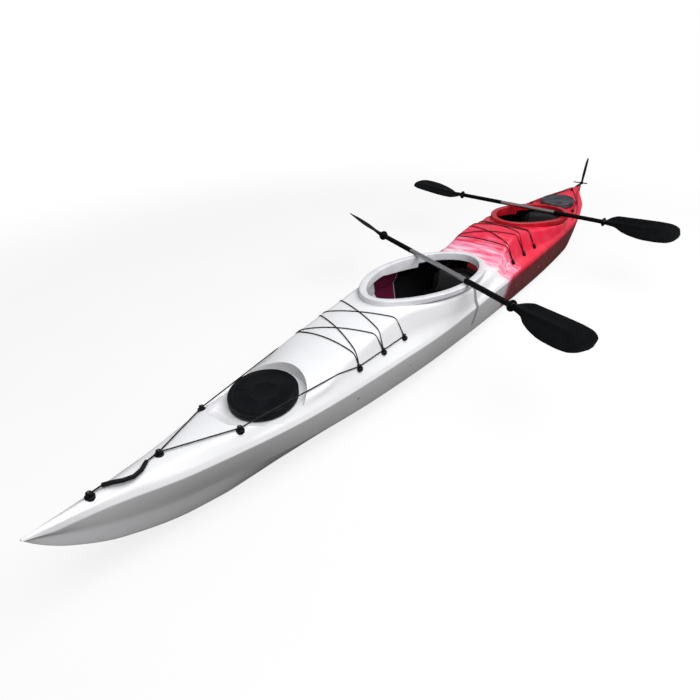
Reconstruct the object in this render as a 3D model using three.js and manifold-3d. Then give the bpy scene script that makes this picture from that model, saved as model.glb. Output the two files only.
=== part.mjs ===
// Two-seat sea kayak with a rudder, deck lines and two paddles laid across the cockpits.
// Frame: +X to the bow, +Y to port, +Z up. The origin is amidships on the flat keel. Millimetres.

import * as THREE from 'three';
import { mergeGeometries, mergeVertices } from 'three/addons/utils/BufferGeometryUtils.js';
import Module from 'manifold-3d';

const wasm = await Module();
wasm.setup();

// Overall sizes of the boat. Depth is the height of the deck edge amidships.
const LENGTH = 5200;
const BEAM = 594;
const DEPTH = 280;
const KEEL_WIDTH = 90;
const WALL = 6;
const GAP = 0.3;
const OVERRUN = 60;

// The bevelled band along the deck edge, and the side strip inside it.
const BAND_HEIGHT = 20;
const BAND_INSET = 10;
const BAND_INSET_LIMIT_SHARE = 0.2;
const STRIP_RISE = 10;
const KEEL_LIMIT_SHARE = 0.5;
const SEAM_SHARE = 0.2;

// Rows are [share of the length from the bow, share of the size named in the table].
const halfBeamShare = smoothTable([
  [0, 0.024], [0.015, 0.062], [0.04, 0.135], [0.1, 0.367], [0.2, 0.69], [0.3, 0.85], [0.4, 0.965],
  [0.5, 0.99], [0.6, 1], [0.7, 0.987], [0.8, 0.93], [0.9, 0.63], [0.96, 0.24], [0.99, 0.07], [1, 0.03],
]);
const sheerShare = smoothTable([
  [0, 1.4], [0.04, 1.329], [0.1, 1.175], [0.2, 1.068], [0.3, 1.012], [0.4, 0.99], [0.5, 1],
  [0.6, 0.996], [0.7, 0.985], [0.8, 1.005], [0.9, 1.075], [0.96, 1.155], [1, 1.17],
]);
const keelShare = smoothTable([
  [0, 1.385], [0.005, 1.25], [0.02, 0.965], [0.05, 0.59], [0.1, 0.257], [0.15, 0.125], [0.2, 0.045], [0.25, 0],
  [0.75, 0], [0.8, 0.02], [0.9, 0.17], [0.96, 0.37], [1, 0.62],
]);
const chineWidthShare = smoothTable([
  [0, 0.55], [0.1, 0.6], [0.2, 0.79], [0.3, 0.84], [0.5, 0.87], [0.8, 0.86], [0.9, 0.8], [1, 0.7],
]);
const chineHeightShare = smoothTable([
  [0, 1.392], [0.05, 0.904], [0.1, 0.66], [0.2, 0.48], [0.3, 0.34], [0.4, 0.286], [0.5, 0.214],
  [0.6, 0.16], [0.7, 0.125], [0.8, 0.13], [0.9, 0.3], [0.96, 0.56], [1, 0.82],
]);
const kneeWidthShare = smoothTable([
  [0, 0.66], [0.04, 0.68], [0.09, 0.8], [0.14, 0.88], [0.2, 0.86], [0.25, 0.76], [0.3, 0.68],
  [0.34, 0.7], [0.4365, 0.93], [0.5, 0.9], [0.55, 0.76], [0.6, 0.72], [0.65, 0.75], [0.7, 0.88],
  [0.747, 0.93], [0.8, 0.89], [0.85, 0.8], [0.9, 0.76], [1, 0.66],
]);
const creaseWidthShare = smoothTable([
  [0, 0.36], [0.04, 0.42], [0.09, 0.56], [0.14, 0.71], [0.2, 0.62], [0.25, 0.575], [0.3, 0.52],
  [0.337, 0.49], [0.38, 0.67], [0.4365, 0.885], [0.5, 0.8], [0.54, 0.55], [0.6, 0.42], [0.65, 0.46],
  [0.7, 0.74], [0.747, 0.86], [0.8, 0.78], [0.85, 0.62], [0.9, 0.54], [1, 0.4],
]);
const creaseHeightShare = smoothTable([
  [0, 1.415], [0.04, 1.36], [0.09, 1.315], [0.14, 1.285], [0.2, 1.275], [0.25, 1.28], [0.3, 1.3],
  [0.337, 1.35], [0.38, 1.36], [0.4365, 1.33], [0.5, 1.235], [0.54, 1.19], [0.6, 1.265], [0.65, 1.37],
  [0.7, 1.29], [0.747, 1.19], [0.8, 1.1], [0.85, 1.035], [0.9, 1.1], [0.96, 1.18], [1, 1.2],
]);
const centreHeightShare = smoothTable([
  [0, 1.425], [0.04, 1.388], [0.09, 1.352], [0.14, 1.318], [0.2, 1.308], [0.25, 1.345], [0.3, 1.446],
  [0.336, 1.54], [0.4, 1.5], [0.5, 1.28], [0.545, 1.195], [0.6, 1.32], [0.648, 1.425], [0.7, 1.36],
  [0.747, 1.25], [0.8, 1.12], [0.846, 1.02], [0.88, 1.06], [0.92, 1.13], [0.96, 1.19], [1, 1.205],
]);
const STATION_STEPS = 27;
const STATION_BUNCHING_SHARE = 0.5;
const HOLLOW_START_SHARE = 0.045;
const HOLLOW_END_SHARE = 0.955;
const BOTTOM_BOW_SHARE = 0.42;
const SIDE_BULGE_SHARE = 0.58;
const DOME_WIDTH_SHARES = [0.66, 0.33];
const DOME_HEIGHT_SHARES = [0.56, 0.89];

// Places along the boat are shares of its length from amidships, positive towards the bow.
const FRONT_COCKPIT_SHARE = 0.06365;
const REAR_COCKPIT_SHARE = -0.25096;
const FRONT_HATCH_SHARE = 0.31654;
const REAR_HATCH_SHARE = -0.38154;
const FRONT_BULKHEAD_SHARE = 0.25673;

// Cockpits: x is the opening's middle, top the rim's height there, slope the rim's rise towards the bow,
// seat the seat's place ahead of the opening's after end.
const FRONT_COCKPIT = {
  x: LENGTH * FRONT_COCKPIT_SHARE, length: 1040, width: 456, top: 427, slope: 0.094, seat: 220,
};
const REAR_COCKPIT = {
  x: LENGTH * REAR_COCKPIT_SHARE, length: 940, width: 440, top: 378, slope: 0.115, seat: 217,
};
const COCKPIT_BRACE_SHARE = -0.248;
const COCKPIT_TAPER_SHARE = 0.18;
const COCKPIT_STEPS = 36;
const COAMING_FLANGE = 38;
const COAMING_WALL = 3.5;
const COAMING_LIP = 28;
const COAMING_SKIRT = 45;
const COAMING_INSET = 2;
const BRACE_DEPTH = 72;
const BRACE_LENGTH = 345;
const BRACE_EDGE = 2;
const BRACE_HOLE_RADIUS = 3;
const BRACE_HOLE_STEPS = [50, 150];
const BRACE_HOLE_DROP = 58;
const RISER_INSET = 2;
const DECK_CUT_MARGIN = 12;

// Hatches: x is the cover's middle, top the cover's height there, slope its rise towards the bow.
const FRONT_HATCH = { x: LENGTH * FRONT_HATCH_SHARE, length: 290, width: 290, top: 362, slope: -0.111 };
const REAR_HATCH = { x: LENGTH * REAR_HATCH_SHARE, length: 300, width: 270, top: 331, slope: -0.06 };
const HATCH_STEPS = 20;
const HATCH_COVER_HEIGHT = 40;
const HATCH_COVER_WALL = 6;
const HATCH_RECESS_MARGIN = 25;
const HATCH_RIM_INSET = 23;
const HATCH_RIM_WALL = 8;
const HATCH_FOOT_GAP = 5;
const HATCH_BEAD = 5;
const HATCH_RIBS = 8;
const HATCH_RIB_HEIGHT = 3;

const BULKHEAD_THICKNESS = 20;
const BULKHEAD_SETBACK = 15;

// Seats and hinged backrests.
const SEAT_LENGTH = 380;
const SEAT_WIDTH = 340;
const SEAT_HEIGHT = 58;
const SEAT_WALL = 6;
const SEAT_WING_RISE = 45;
const SEAT_REAR_RISE = 16;
const SEAT_STEPS = 8;
const PAD_LENGTH = 290;
const PAD_WIDTH = 280;
const PAD_THICKNESS = 24;
const PAD_PINCH_SHARE = 0.05;
const PAD_CHANNEL_DEPTH = 4;
const BACK_WIDTH = 320;
const BACK_HEIGHT = 165;
const BACK_WALL = 5;
const BACK_WRAP = 62;
const BACK_LEAN = 10;
const BACK_RISE = 46;
const BACK_OFFSET = -158;
const HINGE_RADIUS = 4;
const HINGE_SLACK = 0.6;
const HINGE_EAR = 12;
const HINGE_EAR_RADIUS = 12;
const HINGE_HALF_WIDTH = 118;

// Foot rails: shares [of length, of depth] of the two ends; the wall of the hull gives the width.
const FRONT_RAIL_SHARES = [[0.16923, 0.675], [0.24808, 0.71429]];
const REAR_RAIL_SHARES = [[-0.16058, 0.50357], [-0.07885, 0.56429]];
const RAIL_THICKNESS = 14;
const RAIL_HEIGHT = 30;
const RAIL_LIP = 6;
const PEDAL_CARRIAGE = 60;
const PEDAL_PLATE = 7;
const PEDAL_WIDTH = 84;
const PEDAL_RISE = 74;
const PEDAL_DROP = 56;

// Deck fittings and lines.
const BUTTON_RADIUS = 12;
const BUTTON_BASE = 3.5;
const BUTTON_POST_RADIUS = 4.4;
const BUTTON_HEIGHT = 20.5;
const BUTTON_CAP = 3.5;
const BUTTON_CAP_RADIUS = 6.4;
const BUTTON_SINK = 8;
const BUTTON_SIDES = 8;
const CORD_RADIUS = 2;
const CORD_CLEARANCE = 1.7;
const CORD_LEVEL = 4.5;
const WASHER_CLEARANCE = 1.8;
const CORD_SIDES = 8;
const CORD_TOLERANCE = 1;
const CORD_SAMPLES = 160;
const CROSSING_HALF_LENGTH = 45;
const REAR_EYE_CLEARANCE = 17.8;

// Places on the deck, shares [of length, of half beam]. The first rear eye stands beside the coaming.
const BOW_EYES = onDeck([[0.46058, 0], [0.41212, 0]]);
const HATCH_EYES = onDeck([[0.36019, 0.3569], [0.36019, -0.3569]]);
const FORE_EYES = onDeck([[0.23346, 0.59259], [0.19635, 0.59259], [0.15962, 0.633]]);
const MID_EYES = onDeck([[-0.07885, 0.77441], [-0.11538, 0.77441], [-0.15038, 0.78114]]);
const [REAR_EYE_ROW, REAR_EYE_TWO, STERN_EYE] = onDeck([[-0.31923, 0], [-0.35385, 0.59259], [-0.45442, 0]]);
const REAR_EYES = [[REAR_EYE_ROW[0], besideCoaming(REAR_COCKPIT, REAR_EYE_ROW[0])], REAR_EYE_TWO];
const BESIDE_HATCH = onDeck([[0.30769, 0.51178], [0.32692, 0.50505]]);
const BESIDE_REAR_HATCH = onDeck([[-0.37981, 0.50505], [-0.39808, 0.46128], [-0.42308, 0.2963]]);

// Points of the handle: shares [of length, of half beam, of depth].
const HANDLE_ROUTE_SHARES = [
  [0.45192, -0.0101, 1.42857], [0.44712, 0.04714, 1.43571], [0.44192, 0.10774, 1.42857],
  [0.43558, 0.13468, 1.41429], [0.42904, 0.10101, 1.4], [0.42231, 0.0202, 1.39286],
];
const HANDLE_GRIP_RADIUS = 8;
const HANDLE_CORD_RADIUS = 3;
const HANDLE_RING = 4;

const STRAP_PLACE_SHARE = 0.04462;
const STRAP_FOOT_SHARE = 0.45;
const STRAP_WIDTH = 18;
const STRAP_THICKNESS = 1.8;

// Rudder: the head turns about an upright pin, the blade lifts about a cross pin.
const RUDDER_SETBACK = 19;
const RUDDER_X = -LENGTH / 2 - RUDDER_SETBACK;
const RUDDER_TUBE_RADIUS = 8;
const RUDDER_PIN_RADIUS = 4;
const RUDDER_PIN_SLACK = 0.6;
const RUDDER_TUBE_FOOT_SHARE = 0.79286;
const RUDDER_TUBE_TOP_SHARE = 1.23571;
const RUDDER_TUBE_FOOT = DEPTH * RUDDER_TUBE_FOOT_SHARE;
const RUDDER_TUBE_TOP = DEPTH * RUDDER_TUBE_TOP_SHARE;
const RUDDER_PLATE = 6;
const RUDDER_ARM = 62;
const RUDDER_ARM_WIDTH = 12;
const RUDDER_LIFT_SETBACK = 54;
const RUDDER_LIFT_DROP = 12;
const RUDDER_LIFT_X = RUDDER_X - RUDDER_LIFT_SETBACK;
const RUDDER_LIFT_Z = RUDDER_TUBE_TOP - RUDDER_LIFT_DROP;
const RUDDER_CHEEK = 4;
const RUDDER_BLADE_WALL = 8;
const RUDDER_BLADE_LENGTH = 226;
const RUDDER_BLADE_CHORD = 74;
const RUDDER_BLADE_LEAN = 12;
const RUDDER_BOLT_RADIUS = 5;
const BRACKET_LENGTH = 100;
const BRACKET_WIDTH = 20;
const BRACKET_WALL = 3;
const CABLE_ROUTE = onDeck([
  [-0.475, 0.11448], [-0.44231, 0.22896], [-0.4, 0.47811], [-0.36154, 0.68687],
  [-0.32692, 0.80808], [-0.3, 0.84848],
]);

// Paddles: the middle's place as shares of the cockpit's length and width, the heading from +X, the tilt
// of the port blade and of the starboard blade, the room under the grips at the middle, and the lean of
// the port end in degrees.
const PADDLE_SHAFT_RADIUS = 14.5;
const PADDLE_GRIP_RADIUS = 15.5;
const PADDLE_GRIP_LENGTH = 358;
const PADDLE_GRIP_SETBACK = 30;
const PADDLE_RING_SETBACK = 12;
const PADDLE_RING_RADIUS = 30;
const PADDLE_RING_WIDTH = 10;
const PADDLE_BLADE_LENGTH = 510;
const PADDLE_BLADE_WIDTH = 187;
const PADDLE_BLADE_WALL = 5;
const PADDLE_SCOOP = 26;
const PADDLE_SPINE = 11;
const PADDLE_JOINT_DEPTH = 70;
const PADDLE_JOINT_WALL = 2.5;
const PADDLE_JOINT_SLACK = 0.7;
const PADDLE_SIDES = 10;
const FRONT_PADDLE = {
  cockpit: FRONT_COCKPIT, xShare: -0.13758, yShare: -0.02346, heading: 60.95, port: 19, starboard: -32,
  clearance: 0.3, lean: 0, length: 2380,
};
const REAR_PADDLE = {
  cockpit: REAR_COCKPIT, xShare: -0.13097, yShare: -0.16591, heading: 82.94, port: 33, starboard: 12,
  clearance: 2.64, lean: -0.406, length: 2252,
};
const bladeUpperShare = smoothTable([
  [0, 0.08], [0.06, 0.3], [0.15, 0.43], [0.4, 0.45], [0.67, 0.44], [0.84, 0.4], [0.95, 0.26], [1, -0.02],
]);
const bladeLowerShare = smoothTable([
  [0, 0.08], [0.15, 0.14], [0.28, 0.32], [0.44, 0.465], [0.61, 0.55], [0.75, 0.56], [0.88, 0.52],
  [0.96, 0.38], [1, 0.16],
]);

const material = {
  white: new THREE.MeshStandardMaterial({ color: '#e9e9ea', roughness: 0.42, metalness: 0 }),
  red: new THREE.MeshStandardMaterial({ color: '#e8133c', roughness: 0.38, metalness: 0 }),
  deepRed: new THREE.MeshStandardMaterial({ color: '#b80d22', roughness: 0.4, metalness: 0 }),
  rubber: new THREE.MeshStandardMaterial({ color: '#14161a', roughness: 0.62, metalness: 0 }),
  plastic: new THREE.MeshStandardMaterial({ color: '#1a1b1e', roughness: 0.45, metalness: 0 }),
  foam: new THREE.MeshStandardMaterial({ color: '#2a2b2e', roughness: 0.9, metalness: 0 }),
  fabric: new THREE.MeshStandardMaterial({ color: '#202226', roughness: 0.95, metalness: 0 }),
  cord: new THREE.MeshStandardMaterial({ color: '#17181a', roughness: 0.85, metalness: 0 }),
  webbing: new THREE.MeshStandardMaterial({ color: '#8d9398', roughness: 0.85, metalness: 0 }),
  alloy: new THREE.MeshStandardMaterial({ color: '#b9bcc0', roughness: 0.3, metalness: 1 }),
};

const kayak = new THREE.Group();

// Turns shares of the length and of the half beam into places.
function onDeck(rows) {
  return rows.map(([x, y]) => [LENGTH * x, (BEAM / 2) * y]);
}

// How far out an eye stands at x so that it clears the coaming's flange.
function besideCoaming(spec, x) {
  const along = (x - spec.x) / (spec.length / 2);
  const opening = (spec.width / 2) * Math.sqrt(Math.max(1 - along ** 2, 0));
  return opening + COAMING_FLANGE + BUTTON_RADIUS + REAR_EYE_CLEARANCE;
}

function addPart(name, geometry, finish) {
  const mesh = new THREE.Mesh(geometry, finish);
  mesh.name = name;
  kayak.add(mesh);
}

function mix(from, to, share) {
  return from + (to - from) * share;
}

// A smooth curve through the rows that never overshoots them.
function smoothTable(rows) {
  const last = rows.length - 1;
  const slopes = rows.slice(1).map((row, i) => (row[1] - rows[i][1]) / (row[0] - rows[i][0]));
  const tangents = rows.map((row, i) => {
    const before = slopes[Math.max(i - 1, 0)];
    const after = slopes[Math.min(i, last - 1)];
    return before * after <= 0 ? 0 : (2 * before * after) / (before + after);
  });
  return (share) => {
    const held = THREE.MathUtils.clamp(share, 0, 1);
    let i = 0;
    while (i < last - 1 && held > rows[i + 1][0]) {
      i += 1;
    }
    const width = rows[i + 1][0] - rows[i][0];
    const t = (held - rows[i][0]) / width;
    const rise = rows[i][1] * (1 + 2 * t) * (1 - t) ** 2 + rows[i + 1][1] * t * t * (3 - 2 * t);
    return rise + width * (tangents[i] * t * (1 - t) ** 2 + tangents[i + 1] * t * t * (t - 1));
  };
}

// A closed surface from an index list, turned so that its faces point out.
function closedSurface(points, faces) {
  const positions = new Float32Array(points.flatMap((point) => [point.x, point.y, point.z]));
  const geometry = new THREE.BufferGeometry();
  geometry.setAttribute('position', new THREE.BufferAttribute(positions, 3));
  let volume = 0;
  for (const [a, b, c] of faces) {
    volume += points[a].dot(new THREE.Vector3().crossVectors(points[b], points[c]));
  }
  const outward = volume < 0 ? faces.map(([a, b, c]) => [a, c, b]) : faces;
  geometry.setIndex(outward.flat());
  return geometry;
}

function toSolid(geometry) {
  const bare = geometry.clone();
  bare.deleteAttribute('normal');
  bare.deleteAttribute('uv');
  const merged = mergeVertices(bare);
  const vertProperties = new Float32Array(merged.attributes.position.array);
  const triVerts = new Uint32Array(merged.index.array);
  return new wasm.Manifold(new wasm.Mesh({ numProp: 3, vertProperties, triVerts }));
}

function toGeometry(solid) {
  const mesh = solid.getMesh();
  const geometry = new THREE.BufferGeometry();
  geometry.setAttribute('position', new THREE.BufferAttribute(new Float32Array(mesh.vertProperties), 3));
  geometry.setIndex(new THREE.BufferAttribute(new Uint32Array(mesh.triVerts), 1));
  const facets = geometry.toNonIndexed();
  facets.computeVertexNormals();
  return facets;
}

// A skin over rings of equal count, closed at both ends by flat caps, or round into a loop.
function loft(rings, looped = false) {
  const count = rings[0].length;
  const points = rings.flat();
  const faces = [];
  const spans = looped ? rings.length : rings.length - 1;
  for (let i = 0; i < spans; i += 1) {
    const here = i * count;
    const next = ((i + 1) % rings.length) * count;
    for (let j = 0; j < count; j += 1) {
      const k = (j + 1) % count;
      faces.push([here + j, next + j, next + k], [here + j, next + k, here + k]);
    }
  }
  if (!looped) {
    const start = capFaces(rings[0]);
    const end = capFaces(rings[rings.length - 1]).map((face) => face.map((i) => i + points.length - count));
    const flip = ([a, b, c]) => [a, c, b];
    faces.push(...start.map((face) => (windsWith(face, count) ? face : flip(face))));
    faces.push(...end.map((face) => (windsWith(face, count) ? flip(face) : face)));
  }
  return closedSurface(points, faces);
}

function windsWith([a, b, c], count) {
  const [i, j, k] = [a, b, c].map((index) => index % count);
  return (i < j && j < k) || (j < k && k < i) || (k < i && i < j);
}

// Triangles of a flat ring, seen along the axis that its area faces most.
function capFaces(ring) {
  const area = new THREE.Vector3();
  ring.forEach((point, i) => {
    area.add(new THREE.Vector3().crossVectors(point, ring[(i + 1) % ring.length]));
  });
  const [x, y, z] = area.toArray().map(Math.abs);
  let flat = ring.map((point) => new THREE.Vector2(point.x, point.y));
  if (x >= y && x >= z) {
    flat = ring.map((point) => new THREE.Vector2(point.y, point.z));
  } else if (y >= z) {
    flat = ring.map((point) => new THREE.Vector2(point.x, point.z));
  }
  return THREE.ShapeUtils.triangulateShape(flat, []);
}

// A prism over an outline of [a, b] pairs, from low to high along the third axis.
function prism(outline, low, high, place) {
  return loft([outline.map(([a, b]) => place(a, b, low)), outline.map(([a, b]) => place(a, b, high))]);
}

const alongX = (a, b, c) => new THREE.Vector3(c, a, b);
const alongY = (a, b, c) => new THREE.Vector3(a, c, b);
const alongZ = (a, b, c) => new THREE.Vector3(a, b, c);

function block(x0, x1, y0, y1, z0, z1) {
  const geometry = new THREE.BoxGeometry(x1 - x0, y1 - y0, z1 - z0);
  return toSolid(geometry.translate((x0 + x1) / 2, (y0 + y1) / 2, (z0 + z1) / 2));
}

function circle(x, y, radius, steps) {
  return Array.from({ length: steps }, (_, i) => {
    const angle = (2 * Math.PI * i) / steps;
    return [x + radius * Math.cos(angle), y + radius * Math.sin(angle)];
  });
}

// A closed slab over a grid: across and up give each node, the rim is shared by both faces.
function slab(columns, rows, topPoint, bottomPoint, sharedRim = false) {
  const points = [];
  const top = [];
  const bottom = [];
  for (let i = 0; i <= columns; i += 1) {
    for (let j = 0; j <= rows; j += 1) {
      const rim = i === 0 || j === 0 || i === columns || j === rows;
      top.push(points.length);
      points.push(topPoint(i / columns, j / rows));
      if (sharedRim && rim) {
        bottom.push(points.length - 1);
      } else {
        bottom.push(points.length);
        points.push(bottomPoint(i / columns, j / rows));
      }
    }
  }
  const at = (i, j) => i * (rows + 1) + j;
  const faces = [];
  for (let i = 0; i < columns; i += 1) {
    for (let j = 0; j < rows; j += 1) {
      const corners = [at(i, j), at(i + 1, j), at(i + 1, j + 1), at(i, j + 1)];
      const [a, b, c, d] = corners.map((k) => top[k]);
      const [e, f, g, h] = corners.map((k) => bottom[k]);
      faces.push([a, b, c], [a, c, d], [e, g, f], [e, h, g]);
    }
  }
  if (!sharedRim) {
    const rim = [];
    for (let i = 0; i < columns; i += 1) rim.push(at(i, 0));
    for (let j = 0; j < rows; j += 1) rim.push(at(columns, j));
    for (let i = columns; i > 0; i -= 1) rim.push(at(i, rows));
    for (let j = rows; j > 0; j -= 1) rim.push(at(0, j));
    rim.forEach((here, k) => {
      const next = rim[(k + 1) % rim.length];
      faces.push([top[here], bottom[here], bottom[next]], [top[here], bottom[next], top[next]]);
    });
  }
  return closedSurface(points, faces);
}

// The port half of the boat's section, from the keel's middle round to the deck's middle.
function halfSection(share) {
  const half = (BEAM / 2) * halfBeamShare(share);
  const keel = DEPTH * keelShare(share);
  const sheer = DEPTH * sheerShare(share);
  const chineY = half * chineWidthShare(share);
  const chineZ = DEPTH * chineHeightShare(share);
  const flatY = Math.min(KEEL_WIDTH / 2, chineY * KEEL_LIMIT_SHARE);
  const bandZ = sheer - Math.min(BAND_HEIGHT, (sheer - chineZ) / 2);
  const edgeY = half - Math.min(BAND_INSET, half * BAND_INSET_LIMIT_SHARE);
  const creaseY = half * creaseWidthShare(share);
  const creaseZ = DEPTH * creaseHeightShare(share);
  const centreZ = DEPTH * centreHeightShare(share);
  const kneeZ = sheer + Math.min(STRIP_RISE, (creaseZ - sheer) / 3);
  return [
    [0, keel],
    [flatY, keel],
    [mix(flatY, chineY, 1 / 2), mix(keel, chineZ, BOTTOM_BOW_SHARE)],
    [chineY, chineZ],
    [mix(chineY, half, SIDE_BULGE_SHARE), mix(chineZ, bandZ, 1 / 2)],
    [half, bandZ],
    [edgeY, sheer],
    [half * kneeWidthShare(share), kneeZ],
    [creaseY, creaseZ],
    [creaseY * DOME_WIDTH_SHARES[0], mix(creaseZ, centreZ, DOME_HEIGHT_SHARES[0])],
    [creaseY * DOME_WIDTH_SHARES[1], mix(creaseZ, centreZ, DOME_HEIGHT_SHARES[1])],
    [0, centreZ],
  ];
}

const SEAM_STEPS = 5;
const EDGE_STEPS = 6;

function stationShares(from, to) {
  const shares = [];
  for (let i = 0; i <= STATION_STEPS; i += 1) {
    const even = i / STATION_STEPS;
    const bunched = (1 - Math.cos(Math.PI * even)) / 2;
    const share = mix(even, bunched, STATION_BUNCHING_SHARE);
    if (share > from && share < to) {
      shares.push(share);
    }
  }
  return [from, ...shares, to];
}

const STATIONS = stationShares(0, 1).map((share) => {
  return { x: LENGTH * (1 / 2 - share), half: halfSection(share) };
});

function between([y0, z0], [y1, z1], t) {
  return [mix(y0, y1, t), mix(z0, z1, t)];
}

// The two stations that the skin is stretched over at any x, and the share of the way between them.
function stationPair(x) {
  let i = 0;
  while (i < STATIONS.length - 2 && x < STATIONS[i + 1].x) {
    i += 1;
  }
  const t = THREE.MathUtils.clamp((STATIONS[i].x - x) / (STATIONS[i].x - STATIONS[i + 1].x), 0, 1);
  return [STATIONS[i].half, STATIONS[i + 1].half, t];
}

function sectionAt(x) {
  const [here, next, t] = stationPair(x);
  return here.map((point, k) => between(point, next[k], t));
}

function lineHeight(line, side) {
  let k = 0;
  while (k < line.length - 2 && side < line[k + 1][0]) {
    k += 1;
  }
  const [[outerY, outerZ], [innerY, innerZ]] = [line[k], line[k + 1]];
  const t = THREE.MathUtils.clamp((outerY - side) / Math.max(outerY - innerY, GAP), 0, 1);
  return mix(outerZ, innerZ, t);
}

// Height of the deck, the higher of the two ways to split each four-sided facet.
function deckHeight(x, y) {
  const [here, next, t] = stationPair(x);
  const [falling, rising] = [[], []];
  for (let k = EDGE_STEPS; k < here.length - 1; k += 1) {
    const edge = between(here[k], next[k], t);
    falling.push(edge, between(here[k], next[k + 1], t));
    rising.push(edge, between(here[k + 1], next[k], t));
  }
  const middle = between(here[here.length - 1], next[here.length - 1], t);
  const side = Math.min(Math.abs(y), falling[0][0]);
  return Math.max(...[falling, rising].map((line) => lineHeight([...line, middle], side)));
}

function sideWidth(x, z) {
  const section = sectionAt(x);
  let k = 1;
  while (k < SEAM_STEPS - 1 && z > section[k + 1][1]) {
    k += 1;
  }
  const t = (z - section[k][1]) / (section[k + 1][1] - section[k][1]);
  return mix(section[k][0], section[k + 1][0], t);
}

function fullRing(half) {
  const starboard = half.slice(1, -1).reverse().map(([y, z]) => [-y, z]);
  return [...half, ...starboard];
}

// The ring moved inwards by one distance along its mitred corners.
function insetRing(ring, distance) {
  return ring.map(([y, z], i) => {
    const [y0, z0] = ring[(i + ring.length - 1) % ring.length];
    const [y1, z1] = ring[(i + 1) % ring.length];
    const before = new THREE.Vector2(y - y0, z - z0).normalize();
    const after = new THREE.Vector2(y1 - y, z1 - z).normalize();
    const normal = new THREE.Vector2(-before.y - after.y, before.x + after.x).normalize();
    const mitre = distance / Math.max(normal.x * -before.y + normal.y * before.x, 1 / 2);
    return [y + normal.x * mitre, z + normal.y * mitre];
  });
}

function bodySolid(from, to, inset) {
  const rings = stationShares(from, to).map((share) => {
    const x = LENGTH * (1 / 2 - share);
    const ring = fullRing(sectionAt(x));
    const moved = inset > 0 ? insetRing(ring, inset) : ring;
    return moved.map(([y, z]) => new THREE.Vector3(x, y, z));
  });
  return toSolid(loft(rings));
}

// Moves a form drawn on a level plane to a cockpit's or hatch's own sloping plane.
function onPlane(solid, spec) {
  const geometry = toGeometry(solid);
  const tilt = new THREE.Matrix4().set(1, 0, 0, spec.x, 0, 1, 0, 0, spec.slope, 0, 1, spec.top, 0, 0, 0, 1);
  return toSolid(geometry.applyMatrix4(tilt));
}

function cutAhead(spec) {
  return spec.x + spec.length / 2 + RISER_INSET + WALL + DECK_CUT_MARGIN;
}

function afterEnd(spec) {
  return spec.x - spec.length / 2;
}

function planeHeight(spec, x) {
  return spec.top + spec.slope * (x - spec.x);
}

// The egg outline of a cockpit opening, narrower towards the bow, moved outwards by an offset.
function cockpitOutline(spec, offset, angles) {
  const at = (angle) => {
    const along = Math.cos(angle);
    const narrowing = 1 - COCKPIT_TAPER_SHARE * Math.max(along, 0) ** 2;
    return new THREE.Vector2((spec.length / 2) * along, (spec.width / 2) * Math.sin(angle) * narrowing);
  };
  const step = 1 / 1000;
  return angles.map((angle) => {
    const tangent = at(angle + step).sub(at(angle - step)).normalize();
    const point = at(angle);
    return [point.x + tangent.y * offset, point.y - tangent.x * offset];
  });
}

function evenAngles(steps) {
  return Array.from({ length: steps }, (_, i) => (2 * Math.PI * i) / steps);
}

function cockpitPrism(spec, offset, low, high) {
  const outline = cockpitOutline(spec, offset, evenAngles(COCKPIT_STEPS));
  return onPlane(toSolid(prism(outline, low, high, alongZ)), spec);
}

function hatchPrism(spec, offset, low, high) {
  const outline = circle(0, 0, 1, HATCH_STEPS).map(([x, y]) => [
    x * (spec.length / 2 + offset),
    y * (spec.width / 2 + offset),
  ]);
  return onPlane(toSolid(prism(outline, low, high, alongZ)), spec);
}

const COCKPITS = [FRONT_COCKPIT, REAR_COCKPIT];
const HATCHES = [FRONT_HATCH, REAR_HATCH];
const HATCH_FLOOR = -HATCH_COVER_HEIGHT;
const RIM_TOP = -HATCH_BEAD - HATCH_COVER_WALL - GAP;
const RISER_TOP = -COAMING_WALL - GAP;

// The outside of the whole boat: the lofted body, the cockpit risers, the hatch seats and collars.
function outerForm() {
  let form = bodySolid(0, 1, 0);
  for (const spec of COCKPITS) {
    form = form.add(cockpitPrism(spec, RISER_INSET + WALL, -DEPTH / 2, RISER_TOP));
  }
  for (const spec of HATCHES) {
    form = form.subtract(hatchPrism(spec, HATCH_RECESS_MARGIN, HATCH_FLOOR, OVERRUN));
    form = form.add(hatchPrism(spec, -HATCH_RIM_INSET, HATCH_FLOOR - WALL, RIM_TOP));
  }
  return form;
}

// The space inside, left free under the hatch seats.
function innerForm(inset) {
  const margin = (inset - WALL) / LENGTH;
  let form = bodySolid(HOLLOW_START_SHARE + margin, HOLLOW_END_SHARE - margin, inset);
  for (const spec of HATCHES) {
    form = form.subtract(hatchPrism(spec, HATCH_RECESS_MARGIN + inset, HATCH_FLOOR - inset, OVERRUN));
  }
  return form;
}

function openings() {
  const cuts = COCKPITS.map((spec) => cockpitPrism(spec, RISER_INSET, -DEPTH / 2, OVERRUN));
  const inset = HATCH_RIM_INSET + HATCH_RIM_WALL;
  const mouths = HATCHES.map((spec) => hatchPrism(spec, -inset, -DEPTH / 2, OVERRUN));
  return [...cuts, ...mouths];
}

// Everything above the seam, which runs along the deck's bevelled band.
function aboveSeam(lift) {
  const shelf = STATIONS.map(({ x, half }) => {
    const seam = mix(half[SEAM_STEPS][1], half[EDGE_STEPS][1], SEAM_SHARE);
    return [x, seam + lift];
  });
  const [bow, stern] = [shelf[0], shelf[shelf.length - 1]];
  const outline = [
    [bow[0] + OVERRUN, bow[1]],
    ...shelf.slice(1, -1),
    [stern[0] - OVERRUN, stern[1]],
    [stern[0] - OVERRUN, DEPTH * 2],
    [bow[0] + OVERRUN, DEPTH * 2],
  ];
  return toSolid(prism(outline, -BEAM, BEAM, alongY));
}

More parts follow.
